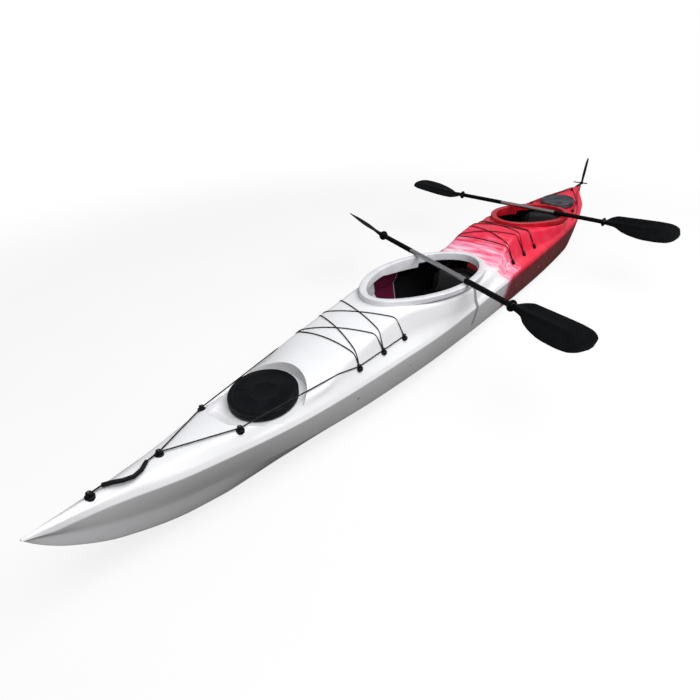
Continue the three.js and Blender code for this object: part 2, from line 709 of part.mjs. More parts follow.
const outer = outerForm();
const room = innerForm(WALL + GAP);
let shell = outer.subtract(innerForm(WALL));
for (const cut of openings()) {
  shell = shell.subtract(cut);
}
const hull = shell.subtract(aboveSeam(-GAP));
const deck = shell.intersect(aboveSeam(0));
addPart('hull_shell', toGeometry(hull), material.white);

// The deck is held in three lengths, parted just ahead of each cockpit.
const BEYOND = LENGTH / 2 + OVERRUN;
const DECK_CUTS = [BEYOND, cutAhead(FRONT_COCKPIT), cutAhead(REAR_COCKPIT), -BEYOND];
const DECK_LENGTHS = [['fore', material.white], ['mid', material.red], ['aft', material.red]];
DECK_LENGTHS.forEach(([part, finish], i) => {
  const slice = block(DECK_CUTS[i + 1] + GAP, DECK_CUTS[i], -BEAM, BEAM, -DEPTH, 2 * DEPTH);
  addPart(`deck_${part}`, toGeometry(deck.intersect(slice)), finish);
});

// Coaming: one section swept round the opening, with a deeper skirt at the two thigh braces.
function coaming(spec) {
  const braceStart = spec.length * COCKPIT_BRACE_SHARE;
  const edges = [-BRACE_EDGE, BRACE_EDGE].map((shift) => {
    return Math.acos((braceStart + shift) / (spec.length / 2));
  });
  const angles = [...evenAngles(COCKPIT_STEPS), ...edges, ...edges.map((angle) => 2 * Math.PI - angle)];
  angles.sort((a, b) => a - b);
  const depthAt = (angle) => {
    const run = (Math.cos(angle) * spec.length) / 2 - braceStart;
    const share = run < 0 ? 0 : THREE.MathUtils.clamp(1 - run / BRACE_LENGTH, 0, 1);
    return mix(COAMING_SKIRT, BRACE_DEPTH, Math.sqrt(share));
  };
  const section = (depth) => [
    [-COAMING_INSET, -depth],
    [-COAMING_INSET, -COAMING_WALL],
    [-COAMING_INSET + COAMING_WALL, 0],
    [COAMING_FLANGE - 2 * COAMING_WALL, 0],
    [COAMING_FLANGE - COAMING_WALL / 2, -COAMING_WALL / 2],
    [COAMING_FLANGE, -2 * COAMING_WALL],
    [COAMING_FLANGE, -COAMING_LIP],
    [COAMING_FLANGE - COAMING_WALL, -COAMING_LIP],
    [COAMING_FLANGE - COAMING_WALL, -2 * COAMING_WALL],
    [COAMING_FLANGE - 2 * COAMING_WALL, -COAMING_WALL],
    [RISER_INSET - GAP, -COAMING_WALL],
    [RISER_INSET - GAP, -depth],
  ];
  const outlines = section(COAMING_SKIRT).map(([offset]) => cockpitOutline(spec, offset, angles));
  const rings = angles.map((angle, i) => section(depthAt(angle)).map(([, height], k) => {
    const [x, y] = outlines[k][i];
    return new THREE.Vector3(x, y, height);
  }));
  let solid = onPlane(toSolid(loft(rings, true)), spec);
  for (const step of BRACE_HOLE_STEPS) {
    const x = spec.x + braceStart + step;
    const drop = BRACE_HOLE_DROP * (1 - step / LENGTH);
    const hole = circle(x, planeHeight(spec, x) - drop, BRACE_HOLE_RADIUS, 8);
    solid = solid.subtract(toSolid(prism(hole, -BEAM, BEAM, alongY)));
  }
  return toGeometry(solid);
}

addPart('coaming_front', coaming(FRONT_COCKPIT), material.white);
addPart('coaming_rear', coaming(REAR_COCKPIT), material.deepRed);

// Hatch cover: a dished lid with a rolled rim, a ring, a boss and wedge-shaped ribs.
function hatchCover(spec) {
  const radius = spec.length / 2;
  const lid = HATCH_BEAD + HATCH_COVER_WALL;
  const foot = HATCH_COVER_HEIGHT - HATCH_FOOT_GAP;
  const profile = [
    [0.11, 0], [0.14, -HATCH_BEAD], [0.54, -HATCH_BEAD], [0.575, -HATCH_BEAD / 2], [0.615, -HATCH_BEAD],
    [0.81, -HATCH_BEAD], [0.86, 0], [0.95, 0], [1, -HATCH_BEAD], [1, -foot / 2], [0.975, -foot * 0.7],
    [0.995, -foot], [0.87, -foot], [0.865, -lid], [0.11, -lid],
  ].map(([share, height]) => [radius * share, height]);
  const wide = spec.width / spec.length;
  const rings = profile.map(([r, height]) => circle(0, 0, r, HATCH_STEPS).map(([x, y]) => (
    new THREE.Vector3(x, y * wide, height)
  )));
  let solid = toSolid(loft(rings));
  for (let i = 0; i < HATCH_RIBS; i += 1) {
    const [inner, outerEnd] = [radius * 0.2, radius * 0.5];
    const wedge = [
      [inner, -inner / 8], [outerEnd, -outerEnd / 6], [outerEnd, outerEnd / 6], [inner, inner / 8],
    ];
    const rib = prism(wedge, -lid + GAP, HATCH_RIB_HEIGHT - HATCH_BEAD, alongZ);
    rib.rotateZ((2 * Math.PI * (i + 1 / 2)) / HATCH_RIBS);
    solid = solid.add(toSolid(rib.scale(1, wide, 1)));
  }
  return toGeometry(onPlane(solid, spec));
}

addPart('hatch_cover_front', hatchCover(FRONT_HATCH), material.rubber);
addPart('hatch_cover_rear', hatchCover(REAR_HATCH), material.rubber);

function bulkhead(x) {
  const half = BULKHEAD_THICKNESS / 2;
  return toGeometry(room.intersect(block(x - half, x + half, -BEAM, BEAM, -DEPTH, DEPTH * 2)));
}

addPart('bulkhead_front', bulkhead(LENGTH * FRONT_BULKHEAD_SHARE), material.foam);
addPart('bulkhead_rear', bulkhead(afterEnd(REAR_COCKPIT) - BULKHEAD_SETBACK), material.foam);

// Seat pan: a moulded bucket with a flat middle, raised wings and a raised rear edge.
function seatTop(s, t) {
  const wing = Math.max(Math.abs(t) - PAD_WIDTH / SEAT_WIDTH, 0) / (1 - PAD_WIDTH / SEAT_WIDTH);
  const rear = Math.max(-s - PAD_LENGTH / SEAT_LENGTH, 0) / (1 - PAD_LENGTH / SEAT_LENGTH);
  return SEAT_HEIGHT + SEAT_WING_RISE * wing * (1 - Math.max(s, 0) / 2) + SEAT_REAR_RISE * rear;
}

// Grid places from -1 to 1 whose second and last but one fall on the edge of the flat middle.
function flatMiddle(u, edge) {
  const step = Math.round(u * SEAT_STEPS);
  if (step === 0 || step === SEAT_STEPS) {
    return 2 * u - 1;
  }
  return edge * ((2 * (step - 1)) / (SEAT_STEPS - 2) - 1);
}

function seatSlab(centre, wall, low) {
  const halfX = SEAT_LENGTH / 2 - wall;
  const halfY = SEAT_WIDTH / 2 - wall;
  const at = (u, v, lift) => {
    const s = flatMiddle(u, PAD_LENGTH / SEAT_LENGTH);
    const t = flatMiddle(v, PAD_WIDTH / SEAT_WIDTH);
    return new THREE.Vector3(centre + halfX * s, halfY * t, lift === null ? low : seatTop(s, t) - lift);
  };
  return toSolid(slab(SEAT_STEPS, SEAT_STEPS, (u, v) => at(u, v, wall), (u, v) => at(u, v, null)));
}

function seatCentre(spec) {
  return afterEnd(spec) + spec.seat;
}

function backCentre(spec) {
  return seatCentre(spec) + BACK_OFFSET;
}

const HINGE_Z = SEAT_HEIGHT + BACK_RISE;

function seat(spec) {
  const centre = seatCentre(spec);
  let solid = seatSlab(centre, 0, 0).intersect(room).subtract(seatSlab(centre, SEAT_WALL, -OVERRUN));
  const hinge = backCentre(spec);
  for (const side of [1, -1]) {
    const inner = side * (HINGE_HALF_WIDTH + GAP);
    const outerY = side * (HINGE_HALF_WIDTH + HINGE_EAR);
    const ear = [
      [hinge - HINGE_EAR_RADIUS, SEAT_HEIGHT - SEAT_WALL],
      [hinge + HINGE_EAR_RADIUS, SEAT_HEIGHT - SEAT_WALL],
      [hinge + HINGE_EAR_RADIUS, HINGE_Z],
      [hinge, HINGE_Z + HINGE_EAR_RADIUS],
      [hinge - HINGE_EAR_RADIUS, HINGE_Z],
    ];
    const hole = circle(hinge, HINGE_Z, HINGE_RADIUS + HINGE_SLACK, 12);
    solid = solid.add(toSolid(prism(ear, inner, outerY, alongY)));
    const reach = side * HINGE_EAR;
    solid = solid.subtract(toSolid(prism(hole, inner - reach, outerY + reach, alongY)));
  }
  return toGeometry(solid);
}

// Cushion form: crowned, with sides drawn in between the corners and sewn channels.
function cushion(length, width, thickness, channels, columns, rows, place) {
  const outline = (s, t) => [
    (length / 2) * s * (1 - PAD_PINCH_SHARE * (1 - t * t)),
    (width / 2) * t * (1 - PAD_PINCH_SHARE * (1 - s * s)),
  ];
  const fullness = (s, t) => Math.sqrt((1 - s ** 4) * (1 - t ** 4));
  const seam = thickness / 3;
  const top = (u, v) => {
    const [s, t] = [2 * u - 1, 2 * v - 1];
    const [x, y] = outline(s, t);
    const groove = channels.includes(Math.round(v * rows)) ? PAD_CHANNEL_DEPTH : 0;
    return place(x, y, mix(seam, thickness, fullness(s, t)) - groove * fullness(s, t));
  };
  const bottom = (u, v) => {
    const [s, t] = [2 * u - 1, 2 * v - 1];
    const [x, y] = outline(s, t);
    return place(x, y, seam * (1 - fullness(s, t) ** (1 / 3)));
  };
  return slab(columns, rows, top, bottom, true);
}

function seatPad(spec) {
  const base = SEAT_HEIGHT + GAP;
  const centre = seatCentre(spec);
  const place = (x, y, z) => new THREE.Vector3(centre + x, y, base + z);
  return cushion(PAD_LENGTH, PAD_WIDTH - 2 * SEAT_WALL, PAD_THICKNESS, [2, 6], 8, 8, place);
}

// The backrest's sheet: upright, wrapped forwards at its sides, leaning back from its foot.
function backPoint(spec, y, z, depth) {
  const wrap = BACK_WRAP * (y / (BACK_WIDTH / 2)) ** 2;
  const lean = Math.tan(THREE.MathUtils.degToRad(BACK_LEAN)) * z;
  return new THREE.Vector3(backCentre(spec) + wrap - lean + depth, y, HINGE_Z + z);
}

function backrest(spec) {
  const foot = HINGE_EAR_RADIUS;
  const at = (u, v, depth) => {
    const y = BACK_WIDTH * (u - 1 / 2);
    const corner = 1 - Math.abs(2 * u - 1) ** 4 / 4;
    return backPoint(spec, y, foot + BACK_HEIGHT * v * corner, depth);
  };
  let solid = toSolid(slab(10, 3, (u, v) => at(u, v, 0), (u, v) => at(u, v, -BACK_WALL)));
  const hinge = backCentre(spec);
  for (const side of [1, -1]) {
    const inner = side * (HINGE_HALF_WIDTH - HINGE_EAR);
    const outerY = side * HINGE_HALF_WIDTH;
    const wrap = BACK_WRAP * (HINGE_HALF_WIDTH / (BACK_WIDTH / 2)) ** 2;
    const arm = [
      [hinge - HINGE_EAR_RADIUS / 2, HINGE_Z - HINGE_EAR_RADIUS / 2],
      [hinge + HINGE_EAR_RADIUS / 2, HINGE_Z - HINGE_EAR_RADIUS / 2],
      [hinge + wrap - BACK_WALL, HINGE_Z + 2 * foot],
      [hinge + wrap - 3 * BACK_WALL, HINGE_Z + 2 * foot],
    ];
    const pin = circle(hinge, HINGE_Z, HINGE_RADIUS, 12);
    solid = solid.add(toSolid(prism(arm, inner, outerY, alongY)));
    solid = solid.add(toSolid(prism(pin, inner, outerY + side * HINGE_EAR, alongY)));
  }
  return toGeometry(solid);
}

const PLACES = [['front', FRONT_COCKPIT], ['rear', REAR_COCKPIT]];
for (const [end, spec] of PLACES) {
  addPart(`seat_${end}`, seat(spec), material.plastic);
  addPart(`seat_pad_${end}`, seatPad(spec), material.fabric);
  addPart(`backrest_${end}`, backrest(spec), material.plastic);
}

// Foot rails lie against the hull's side; each carries a pedal that slides along it.
function railFrame([[x0, z0], [x1, z1]], side) {
  const inner = (x, z) => sideWidth(x, z) - WALL - RAIL_THICKNESS;
  const from = new THREE.Vector3(x0, side * inner(x0, z0), z0);
  const to = new THREE.Vector3(x1, side * inner(x1, z1), z1);
  const along = new THREE.Vector3().subVectors(to, from);
  const length = along.length();
  along.normalize();
  const across = new THREE.Vector3(0, side, 0).addScaledVector(along, -side * along.y).normalize();
  const up = new THREE.Vector3().crossVectors(along, across).multiplyScalar(side);
  const frame = new THREE.Matrix4().makeBasis(along, across, up);
  return { frame: frame.setPosition(from.add(to).divideScalar(2)), length };
}

function boxGeometry(x0, x1, y0, y1, z0, z1) {
  const box = new THREE.BoxGeometry(x1 - x0, y1 - y0, z1 - z0);
  return box.translate((x0 + x1) / 2, (y0 + y1) / 2, (z0 + z1) / 2);
}

function inFrame(geometry, frame) {
  const placed = geometry.clone().applyMatrix4(frame);
  const mirrored = frame.determinant() < 0;
  if (mirrored) {
    const index = placed.index.array;
    for (let i = 0; i < index.length; i += 3) {
      [index[i], index[i + 1]] = [index[i + 1], index[i]];
    }
  }
  return toSolid(placed);
}

function railSection(length, grow, outward) {
  const half = RAIL_HEIGHT / 2 + grow;
  return boxGeometry(-length / 2, length / 2, -grow, outward, -half, half);
}

function footRail(ends, side) {
  const { frame, length } = railFrame(ends, side);
  const bar = inFrame(railSection(length, 0, OVERRUN), frame);
  const groove = boxGeometry(-length, length, -OVERRUN, RAIL_LIP, -RAIL_HEIGHT / 6, RAIL_HEIGHT / 6);
  return toGeometry(bar.intersect(room).subtract(inFrame(groove, frame)));
}

function footPedal(ends, side) {
  const { frame } = railFrame(ends, side);
  const half = PEDAL_CARRIAGE / 2;
  const clasp = RAIL_HEIGHT / 2 + RAIL_LIP;
  const carriage = inFrame(boxGeometry(-half, half, -RAIL_LIP, RAIL_LIP, -clasp, clasp), frame);
  const thin = PEDAL_PLATE / 2;
  const plate = boxGeometry(-thin, thin, -PEDAL_WIDTH, -RAIL_LIP / 2, -PEDAL_DROP, PEDAL_RISE);
  const rib = [
    [-PEDAL_WIDTH, 0], [-RAIL_LIP / 2, 0], [-RAIL_LIP / 2, half], [-PEDAL_WIDTH / 2, PEDAL_PLATE],
  ];
  const gusset = prism(rib.map(([y, x]) => [x, y]), -PEDAL_PLATE / 2, PEDAL_PLATE / 2, alongZ);
  const solid = carriage.add(inFrame(plate, frame)).add(inFrame(gusset, frame));
  return toGeometry(solid.subtract(inFrame(railSection(LENGTH, GAP, OVERRUN), frame)));
}

const RAILS = [['front', FRONT_RAIL_SHARES], ['rear', REAR_RAIL_SHARES]];
const SIDES = [['port', 1], ['starboard', -1]];
for (const [end, shares] of RAILS) {
  const ends = shares.map(([x, z]) => [LENGTH * x, DEPTH * z]);
  for (const [hand, side] of SIDES) {
    addPart(`foot_rail_${end}_${hand}`, footRail(ends, side), material.alloy);
    addPart(`foot_pedal_${end}_${hand}`, footPedal(ends, side), material.plastic);
  }
}

// Deck fittings: a round washer, a post and a domed cap, with the foot cut to the deck.
const skin = outer.translate([0, 0, GAP]);

function deckButton([x, y]) {
  const radii = [
    [0, -BUTTON_SINK], [BUTTON_RADIUS, -BUTTON_SINK], [BUTTON_RADIUS, BUTTON_BASE],
    [BUTTON_POST_RADIUS, BUTTON_BASE],
    [BUTTON_POST_RADIUS, BUTTON_HEIGHT - BUTTON_CAP], [BUTTON_CAP_RADIUS, BUTTON_HEIGHT - BUTTON_CAP],
    [BUTTON_POST_RADIUS, BUTTON_HEIGHT], [0, BUTTON_HEIGHT],
  ];
  const turned = new THREE.LatheGeometry(radii.map(([r, z]) => new THREE.Vector2(r, z)), BUTTON_SIDES);
  turned.rotateX(Math.PI / 2).translate(x, y, deckHeight(x, y));
  return toGeometry(toSolid(turned).subtract(skin));
}

function mirrored([x, y]) {
  return [x, -y];
}

BOW_EYES.forEach((place, i) => addPart(`handle_eye_${i + 1}`, deckButton(place), material.plastic));
HATCH_EYES.forEach((place, i) => addPart(`hatch_eye_${SIDES[i][0]}`, deckButton(place), material.plastic));
const EYE_ROWS = [['foredeck', FORE_EYES], ['middeck', MID_EYES], ['reardeck', REAR_EYES]];
for (const [row, places] of EYE_ROWS) {
  places.forEach((place, i) => {
    addPart(`${row}_eye_port_${i + 1}`, deckButton(place), material.plastic);
    addPart(`${row}_eye_starboard_${i + 1}`, deckButton(mirrored(place)), material.plastic);
  });
}
addPart('stern_eye', deckButton(STERN_EYE), material.plastic);

// A route whose steps fall on its own points, so that it keeps tight turns round the posts.
class Route extends THREE.CatmullRomCurve3 {
  getPointAt(share, target) {
    return this.getPoint(share, target);
  }

  getTangentAt(share, target) {
    return this.getTangent(share, target);
  }
}

function tube(points, radius, sides) {
  const section = new THREE.Shape(circle(0, 0, radius, sides).map(([x, y]) => new THREE.Vector2(x, y)));
  const extrudePath = new Route(points, false, 'centripetal');
  return new THREE.ExtrudeGeometry(section, { steps: points.length - 1, bevelEnabled: false, extrudePath });
}

// Height of a cord's axis where it rests on the deck, clear of it on every side.
function restHeight(x, y) {
  const reach = CORD_RADIUS + CORD_CLEARANCE;
  const step = reach * Math.SQRT1_2;
  const around = circle(x, y, step, CORD_SIDES).map(([px, py]) => deckHeight(px, py) + step);
  return Math.max(deckHeight(x, y) + reach, ...around);
}

// Turns of a cord round a post, on the side away from both neighbours.
const WRAP_RADIUS = BUTTON_POST_RADIUS + CORD_RADIUS + 3 * GAP;
const BASE_LEVEL = BUTTON_BASE + CORD_RADIUS + WASHER_CLEARANCE;

function wrap(post, from, to, level) {
  const centre = new THREE.Vector2(...post);
  const height = deckHeight(...post) + BASE_LEVEL + level * CORD_LEVEL;
  const back = new THREE.Vector2(...(from ?? to)).sub(centre).normalize();
  const ahead = new THREE.Vector2(...(to ?? from)).sub(centre).normalize();
  const away = back.clone().add(ahead).multiplyScalar(-1);
  if (away.length() < GAP) {
    away.set(-back.y, back.x).multiplyScalar(Math.sign(centre.y) * Math.sign(back.x));
  }
  const middle = away.angle();
  const turnTo = (direction) => {
    const normal = new THREE.Vector2(-direction.y, direction.x);
    const outwards = normal.dot(away);
    if ((Math.abs(outwards) < GAP ? normal.y * centre.y : outwards) < 0) {
      normal.negate();
    }
    const turn = normal.angle() - middle;
    return Math.atan2(Math.sin(turn), Math.cos(turn));
  };
  const start = from ? turnTo(back) : 0;
  const end = to ? turnTo(ahead) : 0;
  const steps = Math.max(1, Math.ceil(Math.abs(end - start) / (Math.PI / 4)));
  return Array.from({ length: steps + 1 }, (_, i) => {
    const angle = middle + mix(start, end, i / steps);
    const x = centre.x + WRAP_RADIUS * Math.cos(angle);
    const y = centre.y + WRAP_RADIUS * Math.sin(angle);
    return new THREE.Vector3(x, y, Math.max(height, restHeight(x, y)));
  });
}

// The points at which a taut cord between two places bears on the deck.
function tautSpan(from, to, hump) {
  const samples = [];
  for (let i = 0; i <= CORD_SAMPLES; i += 1) {
    const share = i / CORD_SAMPLES;
    const point = new THREE.Vector3().lerpVectors(from, to, share);
    const run = Math.abs(share - 1 / 2) * from.distanceTo(to);
    const phase = (Math.PI * run) / (2 * CROSSING_HALF_LENGTH);
    const lift = run < CROSSING_HALF_LENGTH ? hump * Math.cos(phase) : 0;
    const ends = Math.min(point.distanceTo(from), point.distanceTo(to));
    const washer = ends < BUTTON_RADIUS + CORD_RADIUS ? point.z : 0;
    const floor = restHeight(point.x, point.y) + lift;
    samples.push(i === 0 || i === CORD_SAMPLES ? point : point.setZ(Math.max(floor, washer)));
  }
  const flat = (point) => Math.hypot(point.x - from.x, point.y - from.y);
  const below = (a, b, c) => {
    const share = (flat(b) - flat(a)) / (flat(c) - flat(a));
    return mix(a.z, c.z, share) - b.z;
  };
  const taut = [];
  for (const sample of samples) {
    while (taut.length > 1 && below(taut[taut.length - 2], taut[taut.length - 1], sample) > 0) {
      taut.pop();
    }
    taut.push(sample);
  }
  const kept = [];
  let here = 0;
  while (here < taut.length - 1) {
    let next = taut.length - 1;
    const between = () => taut.slice(here + 1, next);
    while (between().some((point) => -below(taut[here], point, taut[next]) > CORD_TOLERANCE)) {
      next -= 1;
    }
    kept.push(taut[next]);
    here = next;
  }
  return kept.slice(0, -1);
}

// Stops are [place, level, hump of the span that follows]; a stop with no level lies free on the deck.
function lacing(stops) {
  const wraps = stops.map(([post, level], i) => {
    if (level === null) {
      return [new THREE.Vector3(...post, restHeight(...post))];
    }
    return wrap(post, stops[i - 1]?.[0], stops[i + 1]?.[0], level);
  });
  const points = [];
  wraps.forEach((turns, i) => {
    points.push(...turns);
    if (i < wraps.length - 1) {
      points.push(...tautSpan(turns[turns.length - 1], wraps[i + 1][0], stops[i][2] ?? 0));
    }
  });
  return tube(points, CORD_RADIUS, CORD_SIDES);
}

const [foreOne, foreTwo, foreThree] = FORE_EYES;
const [midOne, midTwo, midThree] = MID_EYES;
const [rearOne, rearTwo] = REAR_EYES;
const OVER = CORD_LEVEL;
const lowStops = (places) => places.map((place) => [place, 0]);
const freeStops = (places) => places.map((place) => [place, null]);
addPart('foredeck_lacing', lacing([
  [foreThree, 1], [mirrored(foreTwo), 1], [foreOne, 1], [mirrored(foreOne), 1, OVER], [foreTwo, 1, OVER],
  [mirrored(foreThree), 1],
]), material.cord);
addPart('middeck_lacing', lacing([
  [mirrored(midOne), 0], [midOne, 0], [mirrored(midTwo), 0], [midThree, 0], [mirrored(midThree), 0, OVER],
  [midTwo, 0, OVER], [mirrored(midOne), 1],
]), material.cord);
addPart('foredeck_line', lacing([
  ...lowStops([foreThree, foreTwo, foreOne]),
  ...freeStops(BESIDE_HATCH),
  ...lowStops([HATCH_EYES[0], BOW_EYES[1], HATCH_EYES[1]]),
  ...freeStops(BESIDE_HATCH.map(mirrored).reverse()),
  ...lowStops([foreOne, foreTwo, foreThree].map(mirrored)),
]), material.cord);
addPart('stern_line', lacing([
  ...lowStops([rearOne, rearTwo]),
  ...freeStops(BESIDE_REAR_HATCH),
  ...lowStops([STERN_EYE]),
  ...freeStops(BESIDE_REAR_HATCH.map(mirrored).reverse()),
  ...lowStops([rearTwo, rearOne].map(mirrored)),
]), material.cord);

// Carrying handle: a hose grip on a cord with a ring at each end, round the post of its eye.
function bowHandle() {
  const grip = HANDLE_ROUTE_SHARES.map(([x, y, z]) => {
    return new THREE.Vector3(LENGTH * x, (BEAM / 2) * y, DEPTH * z);
  });
  const level = BASE_LEVEL + CORD_LEVEL;
  const ends = BOW_EYES.map(([x, y]) => new THREE.Vector3(x, y, deckHeight(x, y) + level));
  const reach = WRAP_RADIUS + 2 * HANDLE_CORD_RADIUS / 3;
  const near = (end, towards) => end.clone().add(towards.clone().sub(end).setLength(reach));
  const cord = [near(ends[0], grip[0]), ...grip, near(ends[1], grip[grip.length - 1])];
  const hose = toSolid(tube(grip, HANDLE_GRIP_RADIUS, CORD_SIDES));
  let solid = toSolid(tube(cord, HANDLE_CORD_RADIUS, CORD_SIDES)).add(hose);
  for (const end of ends) {
    const ring = new THREE.LatheGeometry([
      new THREE.Vector2(BUTTON_POST_RADIUS + 2 * GAP, -HANDLE_RING / 2),
      new THREE.Vector2(WRAP_RADIUS + HANDLE_CORD_RADIUS, -HANDLE_RING / 2),
      new THREE.Vector2(WRAP_RADIUS + HANDLE_CORD_RADIUS, HANDLE_RING / 2),
      new THREE.Vector2(BUTTON_POST_RADIUS + 2 * GAP, HANDLE_RING / 2),
      new THREE.Vector2(BUTTON_POST_RADIUS + 2 * GAP, -HANDLE_RING / 2),
    ], 8);
    solid = solid.add(toSolid(ring.rotateX(Math.PI / 2).translate(end.x, end.y, end.z)));
  }
  return toGeometry(solid);
}

addPart('bow_handle', bowHandle(), material.rubber);

// Webbing strap that hangs from the front coaming down the port side.
function sideStrap() {
  const x = LENGTH * STRAP_PLACE_SHARE;
  const foot = DEPTH * STRAP_FOOT_SHARE;
  const section = sectionAt(x).slice(2, 9).reverse();
  const route = [];
  for (const [y, z] of section) {
    if (z > foot) {
      route.push([y, z]);
    }
  }
  route.push([sideWidth(x, foot), foot]);
  const away = (distance) => route.map(([y, z], i) => {
    const [y0, z0] = route[Math.max(i - 1, 0)];
    const [y1, z1] = route[Math.min(i + 1, route.length - 1)];
    const normal = new THREE.Vector2(-(z1 - z0), y1 - y0).normalize();
    return [y + normal.x * distance, z + normal.y * distance];
  });
  const outline = [...away(-GAP * 3), ...away(STRAP_THICKNESS + GAP * 3).reverse()];
  const half = STRAP_WIDTH / 2;
  const band = toSolid(prism(outline, x - half, x + half, alongX));
  return toGeometry(band.subtract(skin).subtract(outer.translate([0, GAP, 0])));
}

addPart('side_strap', sideStrap(), material.webbing);

// Rudder bracket: a plate on the stern deck, an upright plate and the tube that carries the head.
const STERN_X = -LENGTH / 2;
function rudderBracket() {
  const half = BRACKET_WIDTH / 2;
  const plateTop = deckHeight(STERN_X, 0) + BRACKET_WALL + 2 * GAP;
  const front = STERN_X + BRACKET_LENGTH;
  const upper = block(STERN_X - BRACKET_WALL, front, -half, half, plateTop - 4 * BRACKET_WALL, plateTop);
  const upright = block(STERN_X - BRACKET_WALL, STERN_X - GAP, -half, half, RUDDER_TUBE_FOOT, plateTop);
  const webTop = RUDDER_TUBE_TOP - BRACKET_WALL;
  const web = block(RUDDER_X, STERN_X - GAP, -BRACKET_WALL, BRACKET_WALL, RUDDER_TUBE_FOOT, webTop);
  const tubeRing = circle(RUDDER_X, 0, RUDDER_TUBE_RADIUS, 16);
  const barrel = prism(tubeRing, RUDDER_TUBE_FOOT, RUDDER_TUBE_TOP, alongZ);
  const bore = prism(circle(RUDDER_X, 0, RUDDER_PIN_RADIUS + RUDDER_PIN_SLACK, 16), 0, 2 * DEPTH, alongZ);
  const body = upper.subtract(skin).add(upright.subtract(skin)).add(web).add(toSolid(barrel));
  return toGeometry(body.subtract(toSolid(bore)));
}

// Rudder head: tiller arms over the tube, the upright pin, and two cheeks for the blade.
function rudderHead() {
  const low = RUDDER_TUBE_TOP + GAP;
  const high = low + RUDDER_PLATE;
  const inner = RUDDER_BLADE_WALL / 2 + 2 * GAP;
  const outerY = inner + RUDDER_CHEEK;
  const front = RUDDER_X + RUDDER_ARM_WIDTH;
  const arms = block(RUDDER_X - RUDDER_ARM_WIDTH / 2, front, -RUDDER_ARM, RUDDER_ARM, low, high);
  const pinRing = circle(RUDDER_X, 0, RUDDER_PIN_RADIUS, 16);
  const pin = prism(pinRing, RUDDER_TUBE_FOOT - RUDDER_PLATE, high, alongZ);
  let solid = arms.add(toSolid(pin));
  for (const side of [1, -1]) {
    const cheek = [
      [front, low], [front, high], [RUDDER_LIFT_X, high], [RUDDER_LIFT_X - RUDDER_ARM_WIDTH, RUDDER_LIFT_Z],
      [RUDDER_LIFT_X, RUDDER_LIFT_Z - RUDDER_ARM_WIDTH],
      [RUDDER_X - RUDDER_TUBE_RADIUS - 2 * RUDDER_PLATE, low],
    ];
    solid = solid.add(toSolid(prism(cheek, side * inner, side * outerY, alongY)));
  }
  const bolt = prism(circle(RUDDER_LIFT_X, RUDDER_LIFT_Z, RUDDER_BOLT_RADIUS, 12), -outerY, outerY, alongY);
  return toGeometry(solid.add(toSolid(bolt)));
}

// Blade outline up from the lift pin, front edge first; it stands raised and leans aft.
function rudderBlade() {
  const long = RUDDER_BLADE_LENGTH;
  const chord = RUDDER_BLADE_CHORD;
  const neck = RUDDER_ARM_WIDTH;
  const outline = [
    [neck, -neck], [chord * 0.42, long * 0.08], [chord * 0.5, long * 0.2], [chord * 0.62, long * 0.34],
    [chord * 0.62, long * 0.6], [chord * 0.46, long * 0.86], [chord * 0.26, long * 0.97],
    [chord * 0.06, long],
    [-chord * 0.1, long * 0.96], [-chord * 0.24, long * 0.8], [-chord * 0.3, long * 0.4], [-neck, neck],
    [-neck, -neck],
  ];
  const lean = THREE.MathUtils.degToRad(RUDDER_BLADE_LEAN);
  const places = outline.map(([a, b]) => [
    RUDDER_LIFT_X + a * Math.cos(lean) - b * Math.sin(lean),
    RUDDER_LIFT_Z + a * Math.sin(lean) + b * Math.cos(lean),
  ]);
  const half = RUDDER_BLADE_WALL / 2;
  const plate = toSolid(prism(places, -half, half, alongY));
  const hole = circle(RUDDER_LIFT_X, RUDDER_LIFT_Z, RUDDER_BOLT_RADIUS + RUDDER_PIN_SLACK, 12);
  return toGeometry(plate.subtract(toSolid(prism(hole, -BEAM, BEAM, alongY))));
}

addPart('rudder_bracket', rudderBracket(), material.plastic);
addPart('rudder_head', rudderHead(), material.plastic);
addPart('rudder_blade', rudderBlade(), material.plastic);

// Steering cables lie along the deck from the stern to the rear cockpit.
function rudderCable(side) {
  const points = [];
  CABLE_ROUTE.forEach(([x, y], i) => {
    const here = new THREE.Vector3(x, side * y, restHeight(x, side * y));
    if (i > 0) {
      points.push(...tautSpan(points[points.length - 1], here, 0));
    }
    points.push(here);
  });
  return tube(points, CORD_RADIUS, CORD_SIDES);
}

for (const [hand, side] of SIDES) {
  addPart(`rudder_cable_${hand}`, rudderCable(side), material.cord);
}

// Paddle halves lie along +X from the joint; the port half has the socket, the other the spigot.
function bladeSolid(tilt, start) {
  const at = (u, v, face) => {
    const upper = PADDLE_BLADE_WIDTH * bladeUpperShare(u);
    const lower = -PADDLE_BLADE_WIDTH * bladeLowerShare(u);
    const y = mix(lower, upper, v);
    const across = ((2 * v - 1) ** 2 / 4) * Math.sin(Math.PI * u);
    const cup = PADDLE_SCOOP * (Math.sin(Math.PI * u * 0.55) ** 2 - across);
    const spine = PADDLE_SPINE * (1 - u) * Math.max(1 - Math.abs(y) / (PADDLE_BLADE_WIDTH / 6), 0);
    const thick = PADDLE_BLADE_WALL / 2 + spine;
    return new THREE.Vector3(start + PADDLE_BLADE_LENGTH * u, y, cup + face * thick);
  };
  const blade = slab(8, 6, (u, v) => at(u, v, 1), (u, v) => at(u, v, -1));
  return toSolid(blade.rotateX(THREE.MathUtils.degToRad(tilt)));
}

